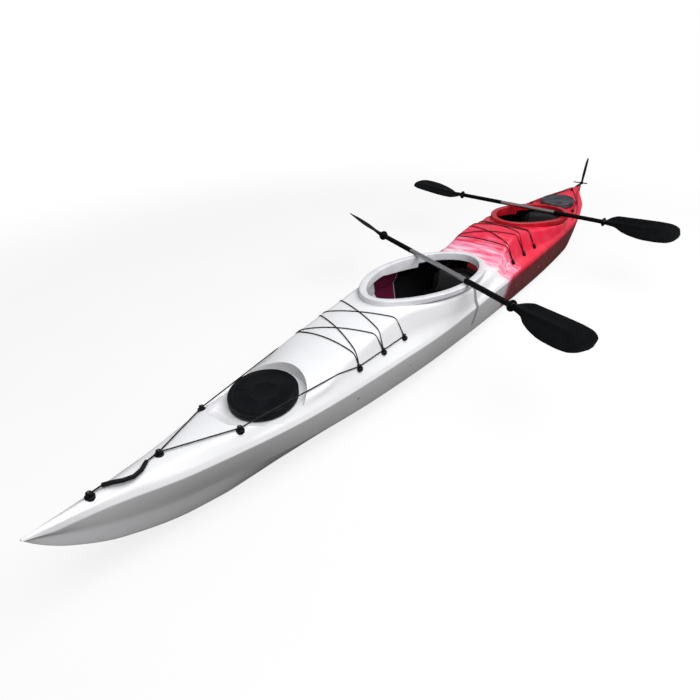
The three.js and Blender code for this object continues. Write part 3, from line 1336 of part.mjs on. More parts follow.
function paddleHalf(tilt, socket, length) {
  const throat = length / 2 - PADDLE_BLADE_LENGTH;
  const gripEnd = throat - PADDLE_GRIP_SETBACK;
  const gripStart = gripEnd - PADDLE_GRIP_LENGTH;
  const ringStart = throat - PADDLE_RING_SETBACK;
  const ringEnd = ringStart + PADDLE_RING_WIDTH;
  const start = socket ? 0 : GAP;
  const r = PADDLE_SHAFT_RADIUS;
  const radii = [
    [start, 0], [start, r], [gripStart, r], [gripStart, PADDLE_GRIP_RADIUS],
    [gripEnd, PADDLE_GRIP_RADIUS], [ringStart, r], [ringStart, PADDLE_RING_RADIUS],
    [ringEnd, PADDLE_RING_RADIUS], [ringEnd, r],
    [throat + r, r], [throat + 5 * r, r / 2], [throat + 5 * r, 0],
  ];
  const profile = radii.map(([x, radius]) => new THREE.Vector2(radius, x));
  const turned = new THREE.LatheGeometry(profile, PADDLE_SIDES);
  let solid = toSolid(turned.rotateZ(-Math.PI / 2)).add(bladeSolid(tilt, throat));
  const spigot = r - PADDLE_JOINT_WALL;
  if (socket) {
    const bore = circle(0, 0, spigot, PADDLE_SIDES);
    solid = solid.subtract(toSolid(prism(bore, -PADDLE_JOINT_DEPTH, PADDLE_JOINT_DEPTH, alongX)));
  } else {
    const plug = circle(0, 0, spigot - PADDLE_JOINT_SLACK, PADDLE_SIDES);
    solid = solid.add(toSolid(prism(plug, GAP - PADDLE_JOINT_DEPTH, throat / 2, alongX)));
  }
  return solid;
}

function addPaddle(end, spec) {
  const heading = THREE.MathUtils.degToRad(spec.heading);
  const fall = Math.tan(THREE.MathUtils.degToRad(spec.lean));
  const climb = spec.cockpit.slope * Math.cos(heading) + fall;
  const along = new THREE.Vector3(Math.cos(heading), Math.sin(heading), climb);
  along.normalize();
  const side = new THREE.Vector3(-Math.sin(heading), Math.cos(heading), 0);
  const up = new THREE.Vector3().crossVectors(along, side);
  const rise = (PADDLE_GRIP_RADIUS + spec.clearance) * Math.hypot(1, spec.cockpit.slope);
  const x = spec.cockpit.x + spec.cockpit.length * spec.xShare;
  const y = spec.cockpit.width * spec.yShare;
  const centre = new THREE.Vector3(x, y, planeHeight(spec.cockpit, x) + rise);
  const port = new THREE.Matrix4().makeBasis(along, side, up).setPosition(centre);
  const back = along.clone().negate();
  const starboard = new THREE.Matrix4().makeBasis(back, side.clone().negate(), up).setPosition(centre);
  const portHalf = toGeometry(paddleHalf(spec.port, true, spec.length)).applyMatrix4(port);
  const starboardSolid = paddleHalf(-spec.starboard, false, spec.length);
  const starboardHalf = toGeometry(starboardSolid).applyMatrix4(starboard);
  addPart(`paddle_${end}_port`, portHalf, material.plastic);
  addPart(`paddle_${end}_starboard`, starboardHalf, material.plastic);
}

addPaddle('front', FRONT_PADDLE);
addPaddle('rear', REAR_PADDLE);

export default kayak;
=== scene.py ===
"""Two-seat sea kayak with two paddles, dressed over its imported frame.

Sizes are in millimetres unless a comment or a property's unit says otherwise.
"""

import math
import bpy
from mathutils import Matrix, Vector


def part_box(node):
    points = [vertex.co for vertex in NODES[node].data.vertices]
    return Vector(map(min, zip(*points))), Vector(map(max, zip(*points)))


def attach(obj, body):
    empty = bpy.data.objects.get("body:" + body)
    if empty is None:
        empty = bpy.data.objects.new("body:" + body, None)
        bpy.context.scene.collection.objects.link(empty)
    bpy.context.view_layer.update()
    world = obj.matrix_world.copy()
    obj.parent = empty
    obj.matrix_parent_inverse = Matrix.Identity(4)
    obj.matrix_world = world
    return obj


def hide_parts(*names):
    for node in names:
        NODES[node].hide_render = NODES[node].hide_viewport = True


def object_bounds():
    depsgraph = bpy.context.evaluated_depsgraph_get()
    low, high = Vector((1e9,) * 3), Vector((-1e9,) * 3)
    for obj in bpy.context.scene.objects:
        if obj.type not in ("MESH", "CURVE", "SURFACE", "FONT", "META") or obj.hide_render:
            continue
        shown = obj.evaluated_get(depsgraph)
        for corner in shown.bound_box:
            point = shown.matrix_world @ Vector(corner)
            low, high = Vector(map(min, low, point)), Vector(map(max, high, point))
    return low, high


bl_info = {
    "name": "Two-seat sea kayak",
    "version": (1, 0, 0),
    "blender": (4, 5, 0),
    "location": "View3D > Sidebar > Kayak",
    "description": "Builds the finished surfaces, fittings and studio of a two-seat sea kayak",
    "category": "Add Mesh",
}

import bmesh
import bpy
from mathutils import Matrix, Vector

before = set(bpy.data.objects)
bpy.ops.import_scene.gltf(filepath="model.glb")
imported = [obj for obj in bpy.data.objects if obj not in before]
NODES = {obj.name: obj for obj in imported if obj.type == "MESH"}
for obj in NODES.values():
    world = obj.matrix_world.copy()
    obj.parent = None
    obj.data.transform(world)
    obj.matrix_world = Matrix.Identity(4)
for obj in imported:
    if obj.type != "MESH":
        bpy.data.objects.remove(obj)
CAD_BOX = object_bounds()
MM = 0.001

# The boat's own sizes, the same as in its solids.
LENGTH = 5200
BEAM = 594
DEPTH = 280
KEEL_WIDTH = 90
WALL = 6
BAND_HEIGHT = 20
BAND_INSET = 10
STRIP_RISE = 10
CAD_STATIONS = 27
HOLLOW = (0.045, 0.955)
RECESS_MARGIN = 25
FRONT_RECESS_MARGIN = 33
RIM_INSET = 23
RIM_WALL = 8
COVER_HEIGHT = 40
COVER_WALL = 6
COVER_BEAD = 5
RISER_INSET = 2
COAMING_WALL = 3.5
COAMING_FLANGE = 38
COAMING_LIP = 28
COAMING_SKIRT = 45
BRACE_DEPTH = 72
BRACE_LENGTH = 345
BRACE_HOLES = (50, 150)
BRACE_HOLE_RADIUS = 3
BRACE_HOLE_DEPTH = 58
GAP = 0.3
BLADE_LENGTH = 510
BLADE_WIDTH = 187
BLADE_CUP = 26
BLADE_RIDGE = 11
TUBE_RADIUS = 14.5
SLEEVE_BORE = 13.5
GRIP_RADIUS = 15.5
GRIP_LENGTH = 358
CORD_RADIUS = 2.7
STRAP_WIDTH = 29
STRAP_LIFT = 1.6
STRAP_SINK = 0.5
STRAP_INNER_END = 246
FORE_EYES = [(1248, 195), (1064, 200), (896, 208)]
CORD_SWELL = 0.6
RAIL_SCREWS = [(1289, 202), (896, 191), (-414, 160), (-830, 141)]

FRONT_COCKPIT = {"x": 331, "length": 1040, "width": 456, "top": 427, "slope": 0.094, "brace_x": 73}
REAR_COCKPIT = {"x": -1305, "length": 940, "width": 440, "top": 378, "slope": 0.115, "brace_x": -1538}
FRONT_HATCH = {"x": 1646, "length": 290, "width": 290, "top": 362, "slope": -0.111}
REAR_HATCH = {"x": -1984, "length": 300, "width": 270, "top": 331, "slope": -0.06}

HALF_BEAM = [
    (0, 0.024), (0.015, 0.062), (0.04, 0.135), (0.1, 0.367), (0.2, 0.69), (0.3, 0.85), (0.4, 0.965),
    (0.5, 0.99), (0.6, 1), (0.7, 0.987), (0.8, 0.93), (0.9, 0.63), (0.96, 0.24), (0.99, 0.07), (1, 0.03),
]
SHEER = [
    (0, 1.4), (0.04, 1.329), (0.1, 1.175), (0.2, 1.068), (0.3, 1.012), (0.4, 0.99), (0.5, 1),
    (0.6, 0.996), (0.7, 0.985), (0.8, 1.005), (0.9, 1.075), (0.96, 1.155), (1, 1.17),
]
KEEL = [
    (0, 1.385), (0.005, 1.25), (0.02, 0.965), (0.05, 0.59), (0.1, 0.257), (0.15, 0.125), (0.2, 0.045),
    (0.25, 0), (0.75, 0), (0.8, 0.02), (0.9, 0.17), (0.96, 0.37), (1, 0.62),
]
CHINE_WIDTH = [
    (0, 0.55), (0.1, 0.6), (0.2, 0.79), (0.3, 0.84), (0.5, 0.87), (0.8, 0.86), (0.9, 0.8), (1, 0.7),
]
CHINE_HEIGHT = [
    (0, 1.392), (0.05, 0.904), (0.1, 0.66), (0.2, 0.48), (0.3, 0.34), (0.4, 0.286), (0.5, 0.214),
    (0.6, 0.16), (0.7, 0.125), (0.8, 0.13), (0.9, 0.3), (0.96, 0.56), (1, 0.82),
]
KNEE_WIDTH = [
    (0, 0.66), (0.04, 0.68), (0.09, 0.8), (0.14, 0.88), (0.2, 0.86), (0.25, 0.76), (0.3, 0.68),
    (0.34, 0.7), (0.4365, 0.93), (0.5, 0.9), (0.55, 0.76), (0.6, 0.72), (0.65, 0.75), (0.7, 0.88),
    (0.747, 0.93), (0.8, 0.89), (0.85, 0.8), (0.9, 0.76), (1, 0.66),
]
CREASE_WIDTH = [
    (0, 0.36), (0.04, 0.42), (0.09, 0.56), (0.14, 0.71), (0.2, 0.62), (0.25, 0.575), (0.3, 0.52),
    (0.337, 0.49), (0.38, 0.67), (0.4365, 0.885), (0.5, 0.8), (0.54, 0.55), (0.6, 0.42), (0.65, 0.46),
    (0.7, 0.74), (0.747, 0.86), (0.8, 0.78), (0.85, 0.62), (0.9, 0.54), (1, 0.4),
]
CREASE_HEIGHT = [
    (0, 1.415), (0.04, 1.36), (0.09, 1.315), (0.14, 1.285), (0.2, 1.275), (0.25, 1.28), (0.3, 1.3),
    (0.337, 1.35), (0.38, 1.36), (0.4365, 1.33), (0.5, 1.235), (0.54, 1.19), (0.6, 1.265), (0.65, 1.37),
    (0.7, 1.29), (0.747, 1.19), (0.8, 1.1), (0.85, 1.035), (0.9, 1.1), (0.96, 1.18), (1, 1.2),
]
CENTRE_HEIGHT = [
    (0, 1.425), (0.04, 1.388), (0.09, 1.352), (0.14, 1.318), (0.2, 1.308), (0.25, 1.345), (0.3, 1.446),
    (0.336, 1.54), (0.4, 1.5), (0.5, 1.28), (0.545, 1.195), (0.6, 1.32), (0.648, 1.425), (0.7, 1.36),
    (0.747, 1.25), (0.8, 1.12), (0.846, 1.02), (0.88, 1.06), (0.92, 1.13), (0.96, 1.19), (1, 1.205),
]
# The finished deck is broader and flatter between the hatches, and the same as the solid one at its ends.
FINISHED_KNEE_WIDTH = KNEE_WIDTH[:4] + [
    (0.2, 0.87), (0.235, 0.845), (0.26, 0.83), (0.3, 0.79), (0.325, 0.79), (0.36, 0.85), (0.4, 0.92),
    (0.4365, 0.95), (0.5, 0.88), (0.55, 0.8), (0.6, 0.78), (0.65, 0.8), (0.7, 0.92), (0.747, 0.94),
] + KNEE_WIDTH[-4:]
# How far the knee stands above the sheer, in millimetres.
FINISHED_KNEE_RISE = [
    (0, 10), (0.15, 10), (0.2, 22), (0.235, 38), (0.26, 42), (0.3, 46), (0.33, 46), (0.37, 40), (0.42, 22),
    (0.46, 12), (0.55, 12), (0.58, 16), (0.65, 16), (0.7, 12), (1, 10),
]
FINISHED_CREASE_WIDTH = CREASE_WIDTH[:4] + [
    (0.18, 0.76), (0.2154, 0.84), (0.2462, 0.74), (0.2827, 0.68), (0.325, 0.64), (0.34, 0.66), (0.38, 0.79),
    (0.4365, 0.9), (0.5, 0.8), (0.54, 0.7), (0.56, 0.65), (0.58, 0.6), (0.6, 0.575), (0.62, 0.575),
    (0.64, 0.6), (0.655, 0.64), (0.7, 0.82), (0.747, 0.88),
] + CREASE_WIDTH[-4:]
FINISHED_CREASE_HEIGHT = CREASE_HEIGHT[:4] + [
    (0.18, 1.26), (0.2154, 1.245), (0.2462, 1.39), (0.2827, 1.485), (0.3077, 1.535), (0.325, 1.56),
    (0.34, 1.57), (0.38, 1.48), (0.4365, 1.37), (0.5, 1.235), (0.54, 1.19), (0.56, 1.31), (0.58, 1.45),
    (0.6, 1.545), (0.62, 1.55), (0.64, 1.5), (0.655, 1.45), (0.7, 1.34), (0.747, 1.22),
] + CREASE_HEIGHT[-5:]
FINISHED_CENTRE_HEIGHT = CENTRE_HEIGHT[:4] + [
    (0.18, 1.36), (0.2154, 1.42), (0.2462, 1.49), (0.2635, 1.535), (0.3077, 1.59), (0.336, 1.61), (0.4, 1.5),
    (0.5, 1.28), (0.545, 1.22), (0.56, 1.34), (0.58, 1.49), (0.6, 1.59), (0.62, 1.59), (0.64, 1.53),
    (0.656, 1.47),
] + CENTRE_HEIGHT[-8:]
SOLID_DECK = (KNEE_WIDTH, CREASE_WIDTH, CREASE_HEIGHT, CENTRE_HEIGHT)
FINISHED_DECK = (FINISHED_KNEE_WIDTH, FINISHED_CREASE_WIDTH, FINISHED_CREASE_HEIGHT, FINISHED_CENTRE_HEIGHT)
BLADE_UPPER = [
    (0, 0.08), (0.06, 0.3), (0.15, 0.43), (0.4, 0.45), (0.67, 0.44), (0.84, 0.4), (0.95, 0.26), (1, -0.02),
]
BLADE_LOWER = [
    (0, 0.08), (0.15, 0.14), (0.28, 0.32), (0.44, 0.465), (0.61, 0.55), (0.75, 0.56), (0.88, 0.52),
    (0.96, 0.38), (1, 0.16),
]

# Radii given to the corners of the section, from the keel's edge round to the deck's middle.
CORNER_RADII = [0, 20, 400, 12, 400, 4, 6, 26, 22, 400, 400, 400]
CORNER_STEPS = 4
STATION_COUNT = 150

POLYETHYLENE_IOR = 1.51

# The longest edge left on a copied cord, in metres.
CORD_STEP = 0.024

# Distances in metres under which points count as one.
WELD = 0.00002
FINE_WELD = 0.000005

# The pads start smaller, swell by a capped distance, and have sewn channels. Lengths in metres.
PAD_START = 0.97
PAD_VOXEL = 0.005
PAD_FRAMES = 20
PAD_SWELL = 0.005
SEAM_REACH = 0.012
SEAM_DEPTH = 0.0035

# Cuts run this high above the boat and this far beyond its sides.
CUT_TOP = 600
CUT_SIDE = 400
PLUG_TOP = 60
RECESS_TOP = 90


class KayakSettings(bpy.types.PropertyGroup):
    """Sizes and colours that a user may change."""

    white: bpy.props.StringProperty(
        name="White", description="Colour of the fore body, sRGB hex", default="#F4F4F6"
    )
    red: bpy.props.StringProperty(
        name="Red", description="Colour of the after body, sRGB hex", default="#F2153F"
    )
    deep_red: bpy.props.StringProperty(
        name="Deep red", description="Colour of the rear coaming, sRGB hex", default="#B00A1C"
    )
    fade_start: bpy.props.FloatProperty(
        name="Fade start", description="Where the white begins to turn red on the deck", default=-0.04,
        unit="LENGTH",
    )
    fade_end: bpy.props.FloatProperty(
        name="Fade end", description="Where the deck is fully red", default=-0.58, unit="LENGTH"
    )
    screw_radius: bpy.props.FloatProperty(
        name="Screw radius", description="Radius of the pan-head screws", default=0.0048, unit="LENGTH"
    )


def settings():
    return bpy.context.scene.kayak


# Colours and material nodes.
def colour(text):
    """sRGB hex to linear values."""
    parts = [int(text[i:i + 2], 16) / 255 for i in (1, 3, 5)]
    return tuple(c / 12.92 if c <= 0.04045 else ((c + 0.055) / 1.055) ** 2.4 for c in parts) + (1.0,)


def feed(tree, node, **inputs):
    """Gives a node's inputs, by name or by i and a number, constants or the outputs of other nodes."""
    for key, value in inputs.items():
        numbered = key[0] == "i" and key[1:].isdigit()
        socket = node.inputs[int(key[1:]) if numbered else key.replace("_", " ")]
        if isinstance(value, bpy.types.NodeSocket):
            tree.links.new(value, socket)
        else:
            socket.default_value = value
    return node


def add_node(tree, kind, values=None, **inputs):
    """Adds a node with its properties and inputs."""
    node = tree.nodes.new(kind)
    for key, value in (values or {}).items():
        setattr(node, key, value)
    return feed(tree, node, **inputs)


def new_material(name):
    material = bpy.data.materials.new(name)
    material.use_nodes = True
    return material, material.node_tree, material.node_tree.nodes["Principled BSDF"]


def object_place(tree, scale=(1, 1, 1), turn=(0, 0, 0)):
    place = add_node(tree, "ShaderNodeTexCoord").outputs["Object"]
    return add_node(tree, "ShaderNodeMapping", Vector=place, Scale=scale, Rotation=turn).outputs[0]


def noise(tree, place, size_mm, detail=3, rough=0.5):
    """Noise whose features are about size_mm across."""
    return add_node(
        tree, "ShaderNodeTexNoise", Vector=place, Scale=1 / (size_mm * MM), Detail=detail, Roughness=rough
    ).outputs["Fac"]


def ramp(tree, value, low, high, start=0.0, end=1.0):
    """A smooth step of value between low and high."""
    return add_node(
        tree, "ShaderNodeMapRange", {"interpolation_type": "SMOOTHSTEP"},
        Value=value, From_Min=low, From_Max=high, To_Min=start, To_Max=end,
    ).outputs["Result"]


def maths(tree, operation, a, b=0.5):
    return add_node(tree, "ShaderNodeMath", {"operation": operation}, i0=a, i1=b).outputs[0]


def times(tree, a, b):
    return maths(tree, "MULTIPLY", a, b)


def blend_colour(tree, share, first, second):
    return add_node(tree, "ShaderNodeMix", {"data_type": "RGBA"}, i0=share, i6=first, i7=second).outputs[2]


def bump(tree, shader, height, depth_mm):
    node = add_node(tree, "ShaderNodeBump", Height=height, Distance=depth_mm * MM, Strength=1.0)
    tree.links.new(node.outputs[0], shader.inputs["Normal"])


def speckled(
    name, base, light, size_mm, depth_mm, roughness, swing=0.08, spread=0.5, metallic=0.0, ior=1.5
):
    """A solid finish with a slight change of tone, a fine grain and uneven gloss."""
    material, tree, shader = new_material(name)
    place = object_place(tree)
    tone = ramp(tree, noise(tree, place, size_mm * 40), 0.35, 0.65)
    grain = noise(tree, place, size_mm)
    feed(
        tree, shader, Metallic=metallic, IOR=ior,
        Base_Color=blend_colour(tree, times(tree, tone, spread), colour(base), colour(light)),
        Roughness=ramp(tree, tone, 0, 1, roughness - swing, roughness + swing),
    )
    bump(tree, shader, grain, depth_mm)
    return material


def moulded_polyethylene_two_tone():
    """Rotation-moulded polyethylene: waxy, softly glossy, two powders that meet in a marbled fade."""
    material, tree, shader = new_material("moulded_polyethylene_two_tone")
    place = add_node(tree, "ShaderNodeTexCoord").outputs["Object"]
    axes = add_node(tree, "ShaderNodeSeparateXYZ", Vector=place)
    # Streaks of powder run across the boat, 12 mm wide and some 120 mm long, drawn finer near the white.
    streaks = noise(tree, object_place(tree, scale=(1, 0.12, 1), turn=(0, 0, 0.35)), 26, detail=8, rough=0.68)
    clouds = noise(tree, object_place(tree, scale=(1, 0.5, 1)), 160, detail=2)
    shift = maths(
        tree, "ADD", times(tree, maths(tree, "SUBTRACT", streaks), 0.75),
        times(tree, maths(tree, "SUBTRACT", clouds), 0.35),
    )
    along = maths(tree, "ADD", axes.outputs["X"], shift)
    # The topsides change colour further forward and over a shorter run than the deck.
    raised = ramp(tree, axes.outputs["Z"], 0.262, 0.282)
    deck = ramp(tree, along, settings().fade_end, settings().fade_start, 1.0, 0.0)
    side_shift = maths(tree, "ADD", axes.outputs["X"], times(tree, shift, 0.12))
    side = ramp(tree, side_shift, -0.3, -0.16, 1.0, 0.0)
    share = add_node(tree, "ShaderNodeMix", {"data_type": "FLOAT"}, i0=raised, i2=side, i3=deck).outputs[0]
    pale = blend_colour(tree, ramp(tree, share, 0.05, 0.5), colour(settings().white), colour("#FF8FB2"))
    body = blend_colour(tree, ramp(tree, share, 0.4, 0.95), pale, colour(settings().red))
    # Painted shade: where the topsides are red, they are darkened to brown, more so lower down.
    painted_topside_shade = times(tree, ramp(tree, axes.outputs["Z"], 0.28, 0.22), share)
    body = blend_colour(tree, times(tree, painted_topside_shade, 0.8), body, colour("#4A2524"))
    chalk = ramp(tree, noise(tree, place, 90, detail=5), 0.4, 0.75)
    body = blend_colour(tree, times(tree, chalk, 0.06), body, colour("#C9C6C8"))
    # Grey-brown streaky patches below the chine, stronger towards the keel.
    low_patch_place = object_place(tree, scale=(0.06, 1, 1))
    low_grey_patches = ramp(tree, noise(tree, low_patch_place, 7, detail=5, rough=0.7), 0.6, 0.75)
    under = ramp(tree, axes.outputs["Z"], 0.1, 0.02)
    body = blend_colour(tree, times(tree, times(tree, low_grey_patches, under), 0.4), body, colour("#8E8880"))
    gloss = ramp(tree, noise(tree, place, 60, detail=3), 0.3, 0.7, 0.3, 0.42)
    feed(
        tree, shader, Base_Color=body, Roughness=gloss, IOR=POLYETHYLENE_IOR, Coat_Weight=0.15,
        Coat_Roughness=0.2,
    )
    # Moulding ripple some 15 mm across and 0.06 mm deep, drawn with the skin's 1.2 mm orange peel.
    ripple = maths(tree, "ADD", times(tree, noise(tree, place, 15), 0.7), noise(tree, place, 1.2))
    bump(tree, shader, ripple, 0.1)
    return material


def moulded_polyethylene(name, base, light):
    """The same polyethylene in one colour, for the coamings."""
    material, tree, shader = new_material(name)
    place = object_place(tree)
    tone = ramp(tree, noise(tree, place, 120, detail=4), 0.3, 0.7)
    feed(
        tree, shader, Base_Color=blend_colour(tree, tone, colour(base), colour(light)),
        Roughness=ramp(tree, noise(tree, place, 40), 0.3, 0.7, 0.26, 0.38), IOR=POLYETHYLENE_IOR,
    )
    bump(tree, shader, noise(tree, place, 1.2), 0.06)
    return material


def cockpit_inside_with_painted_shade():
    """The polyethylene seen inside the cockpits.

    The front one is white at its fore end, then burgundy and black. The rear one is red ahead of its seat and
    black from there aft. The black is painted shade, and the burgundy is the moulding's red darkened by
    painted shade.
    """
    material, tree, shader = new_material("moulded_polyethylene_inside_painted_shade")
    place = add_node(tree, "ShaderNodeTexCoord").outputs["Object"]
    axes = add_node(tree, "ShaderNodeSeparateXYZ", Vector=place)
    x, z = axes.outputs["X"], axes.outputs["Z"]
    curved = maths(tree, "SUBTRACT", x, times(tree, z, 0.6))
    # Painted shade: black deep in the front cockpit, and burgundy as the red in painted shade.
    painted_shade_and_burgundy = blend_colour(tree, ramp(tree, x, 0.222, 0.226), colour("#0A0B0E"), colour("#5A1030"))
    line = times(tree, ramp(tree, x, 0.214, 0.217), ramp(tree, x, 0.224, 0.221))
    painted_shade_and_burgundy = blend_colour(tree, line, painted_shade_and_burgundy, colour("#B9A9B2"))
    front = blend_colour(tree, ramp(tree, curved, 0.275, 0.28), painted_shade_and_burgundy, colour("#E8E8EB"))
    # Painted shade: black in the rear cockpit, aft of its red fore part.
    rear = blend_colour(tree, ramp(tree, x, -1.17, -1.13), colour("#0B0A0B"), colour("#9C0E1F"))
    body = blend_colour(tree, ramp(tree, x, -0.79, -0.78), rear, front)
    roughness = ramp(tree, noise(tree, place, 40), 0.3, 0.7, 0.45, 0.6)
    feed(tree, shader, Base_Color=body, Roughness=roughness, Specular_IOR_Level=0.25)
    bump(tree, shader, noise(tree, place, 2.5), 0.12)
    return material


def woven_cloth(name, base, light, thread_mm, depth_mm):
    """Plain weave of crossed threads, with the dull sheen of a coated polyester."""
    material, tree, shader = new_material(name)
    place = object_place(tree)
    scale = math.pi / (thread_mm * MM) / 6.2832
    warp, weft, rise = [
        add_node(
            tree, "ShaderNodeTexWave", {"bands_direction": axis}, Vector=place, Scale=scale, Distortion=0.4
        ).outputs["Fac"] for axis in "XYZ"
    ]
    weave = maths(tree, "ADD", times(tree, warp, weft), rise)
    fade = ramp(tree, noise(tree, place, 45, detail=4), 0.35, 0.7)
    cloth = blend_colour(tree, fade, colour(base), colour(light))
    cloth = blend_colour(tree, times(tree, weave, 0.3), cloth, colour("#08090A"))
    feed(tree, shader, Base_Color=cloth, Roughness=0.82, Sheen_Weight=0.25, Sheen_Roughness=0.5)
    bump(tree, shader, weave, depth_mm)
    return material


def braided_cord():
    """Braided polyester with a pale marker thread: black, matt, small flecks."""
    material, tree, shader = new_material("braided_polyester_cord")
    place = object_place(tree, turn=(0.5, 0.6, 0.7))
    # Strands of the braid, 1.5 mm apart.
    strands = add_node(
        tree, "ShaderNodeTexWave", {"bands_direction": "DIAGONAL"}, Vector=place, Scale=110.0
    ).outputs["Fac"]
    cells = add_node(tree, "ShaderNodeTexVoronoi", Vector=place, Scale=1 / (5 * MM))
    fleck = ramp(tree, cells.outputs["Distance"], 0.16, 0.08)
    body = blend_colour(tree, strands, colour("#07080A"), colour("#111215"))
    body = blend_colour(tree, times(tree, fleck, 0.3), body, colour("#8F9294"))
    feed(tree, shader, Base_Color=body, Roughness=0.78)
    bump(tree, shader, strands, 0.25)
    return material


def nylon_webbing(name, base, light):
    """Flat woven nylon: cross ribs 1.6 mm apart."""
    material, tree, shader = new_material(name)
    place = object_place(tree)
    ribs = add_node(
        tree, "ShaderNodeTexWave", {"bands_direction": "Z"}, Vector=place, Scale=100.0, Distortion=0.3
    )
    cross = add_node(tree, "ShaderNodeTexWave", {"bands_direction": "X"}, Vector=place, Scale=160.0)
    weave = times(tree, ribs.outputs["Fac"], cross.outputs["Fac"])
    body = blend_colour(tree, weave, colour(base), colour(light))
    feed(tree, shader, Base_Color=body, Roughness=0.7, Sheen_Weight=0.3)
    bump(tree, shader, weave, 0.3)
    return material


def brushed_tube(name, base, light, turn=(0, 0, 0), anodised=0.28):
    """Drawn aluminium: fine lines along the tube and a soft anodised gloss."""
    material, tree, shader = new_material(name)
    place = object_place(tree, turn=turn, scale=(0.02, 1, 1))
    lines = noise(tree, place, 0.8, detail=4, rough=0.6)
    feed(
        tree, shader, Base_Color=blend_colour(tree, lines, colour(base), colour(light)), Metallic=1.0,
        Roughness=ramp(tree, lines, 0.3, 0.7, anodised - 0.06, anodised + 0.08),
    )
    bump(tree, shader, lines, 0.02)
    return material


def studio_floor():
    """Matt white studio floor. The camera sees it nearly white, with the boat's soft shadow kept."""
    material, tree, shader = new_material("painted_studio_floor")
    place = object_place(tree)
    tone = ramp(tree, noise(tree, place, 900, detail=2), 0.3, 0.7)
    camera_ray = add_node(tree, "ShaderNodeLightPath").outputs["Is Camera Ray"]
    pale = blend_colour(tree, tone, colour("#F7F7F7"), colour("#FCFCFC"))
    # The floor throws back less light than it shows, so that the topsides keep their grey shade.
    body = blend_colour(tree, camera_ray, colour("#524F4C"), pale)
    feed(tree, shader, Base_Color=body, Roughness=0.9, Specular_IOR_Level=0.0)
    glow = add_node(tree, "ShaderNodeEmission", Color=(1, 1, 1, 1), Strength=1.0)
    # Away from the boat the floor runs into the white background without a horizon.
    far = add_node(tree, "ShaderNodeVectorMath", {"operation": "LENGTH"}, i0=place).outputs["Value"]
    share = times(tree, camera_ray, ramp(tree, far, 2.6, 5.0, 0.8, 1.0))
    mixed = add_node(tree, "ShaderNodeMixShader", i0=share, i1=shader.outputs[0], i2=glow.outputs[0])
    feed(tree, tree.nodes["Material Output"], Surface=mixed.outputs[0])
    return material


FINISHES = {}


def finish_named(name):
    """Each finish is made once, when a piece first asks for it."""
    makers = {
        "two_tone": moulded_polyethylene_two_tone,
        "inside_painted_shade": cockpit_inside_with_painted_shade,
        "white": lambda: moulded_polyethylene("moulded_polyethylene_white", "#E2E2E6", "#EEEEF1"),
        "deep_red": lambda: moulded_polyethylene(
            "moulded_polyethylene_crimson", settings().deep_red, "#C8122A"
        ),
        # Moulded neoprene: dull black with a bluish bloom.
        "rubber": lambda: speckled("neoprene_moulding", "#07090C", "#0F1318", 1.5, 0.08, 0.42, ior=1.25),
        # The rear cover's black neoprene is painted greyer: a painted sheen.
        "rubber_painted_sheen": lambda: speckled(
            "neoprene_moulding_painted_sheen", "#202429", "#4A5058", 1.5, 0.12, 0.4, 0.1, 0.8
        ),
        # Glass-filled nylon: satin black with a fine spark-eroded grain.
        "nylon": lambda: speckled("glass_filled_nylon", "#08090A", "#111214", 0.9, 0.06, 0.42, ior=1.3),
        # Polypropylene blade: black satin.
        "blade": lambda: speckled("polypropylene_blade", "#060708", "#0B0D0F", 1.1, 0.05, 0.5, ior=1.16),
        # EVA foam grip: soft matt black.
        "grip": lambda: speckled("eva_foam_grip", "#08090B", "#101114", 0.8, 0.15, 0.75, 0.06, ior=1.2),
        "seat_shell": lambda: speckled(
            "blow_moulded_seat_shell", "#090A0C", "#121416", 1.4, 0.15, 0.5, ior=1.25
        ),
        # Closed-cell foam of the bulkheads: cells about 1.5 mm.
        "foam": lambda: speckled("closed_cell_foam", "#1C1D20", "#2B2D31", 1.5, 0.4, 0.9, 0.04),
        # Stainless screws, polished pan heads.
        "stainless": lambda: speckled(
            "stainless_steel_screw", "#A9ACAF", "#D6D8DA", 0.5, 0.01, 0.22, 0.06, 0.6, 1.0
        ),
        "hose": lambda: speckled("ribbed_pvc_hose", "#090A0B", "#131416", 1.0, 0.1, 0.5, ior=1.3),
        "cord": braided_cord,
        "cloth": lambda: woven_cloth("coated_polyester_cover", "#0A0B0E", "#14161A", 2.2, 0.35),
        "webbing": lambda: nylon_webbing("grey_nylon_webbing", "#7D8085", "#A4A7AB"),
        "rail": lambda: brushed_tube("anodised_aluminium_rail", "#A8ABAF", "#CDD0D3"),
        # Each paddle's brushed lines run along its own shaft.
        "front_tube": lambda: brushed_tube(
            "aluminium_shaft_front", "#B4B6B8", "#DADCDD", turn=(0, 0, -1.098)
        ),
        "rear_tube": lambda: brushed_tube(
            "aluminium_shaft_rear", "#B4B6B8", "#DADCDD", turn=(0, 0, -1.4326)
        ),
        # Smooth PVC sleeve of the steering cables.
        "cable": lambda: speckled("pvc_cable_sleeve", "#0D0E0F", "#1C1D1F", 0.8, 0.03, 0.4, 0.05),
    }
    if name not in FINISHES:
        FINISHES[name] = makers[name]()
    return FINISHES[name]


# Mesh helpers.
def deselect():
    if bpy.context.object and bpy.context.object.mode != "OBJECT":
        bpy.ops.object.mode_set(mode="OBJECT")
    bpy.ops.object.select_all(action="DESELECT")


def select_only(piece):
    deselect()
    bpy.context.view_layer.objects.active = piece
    piece.select_set(True)
    return piece


def from_faces(name, points, faces):
    """A new mesh from points in millimetres."""
    mesh = bpy.data.meshes.new(name)
    mesh.from_pydata([Vector(p) * MM for p in points], [], faces)
    mesh.validate()
    return new_object(name, mesh)


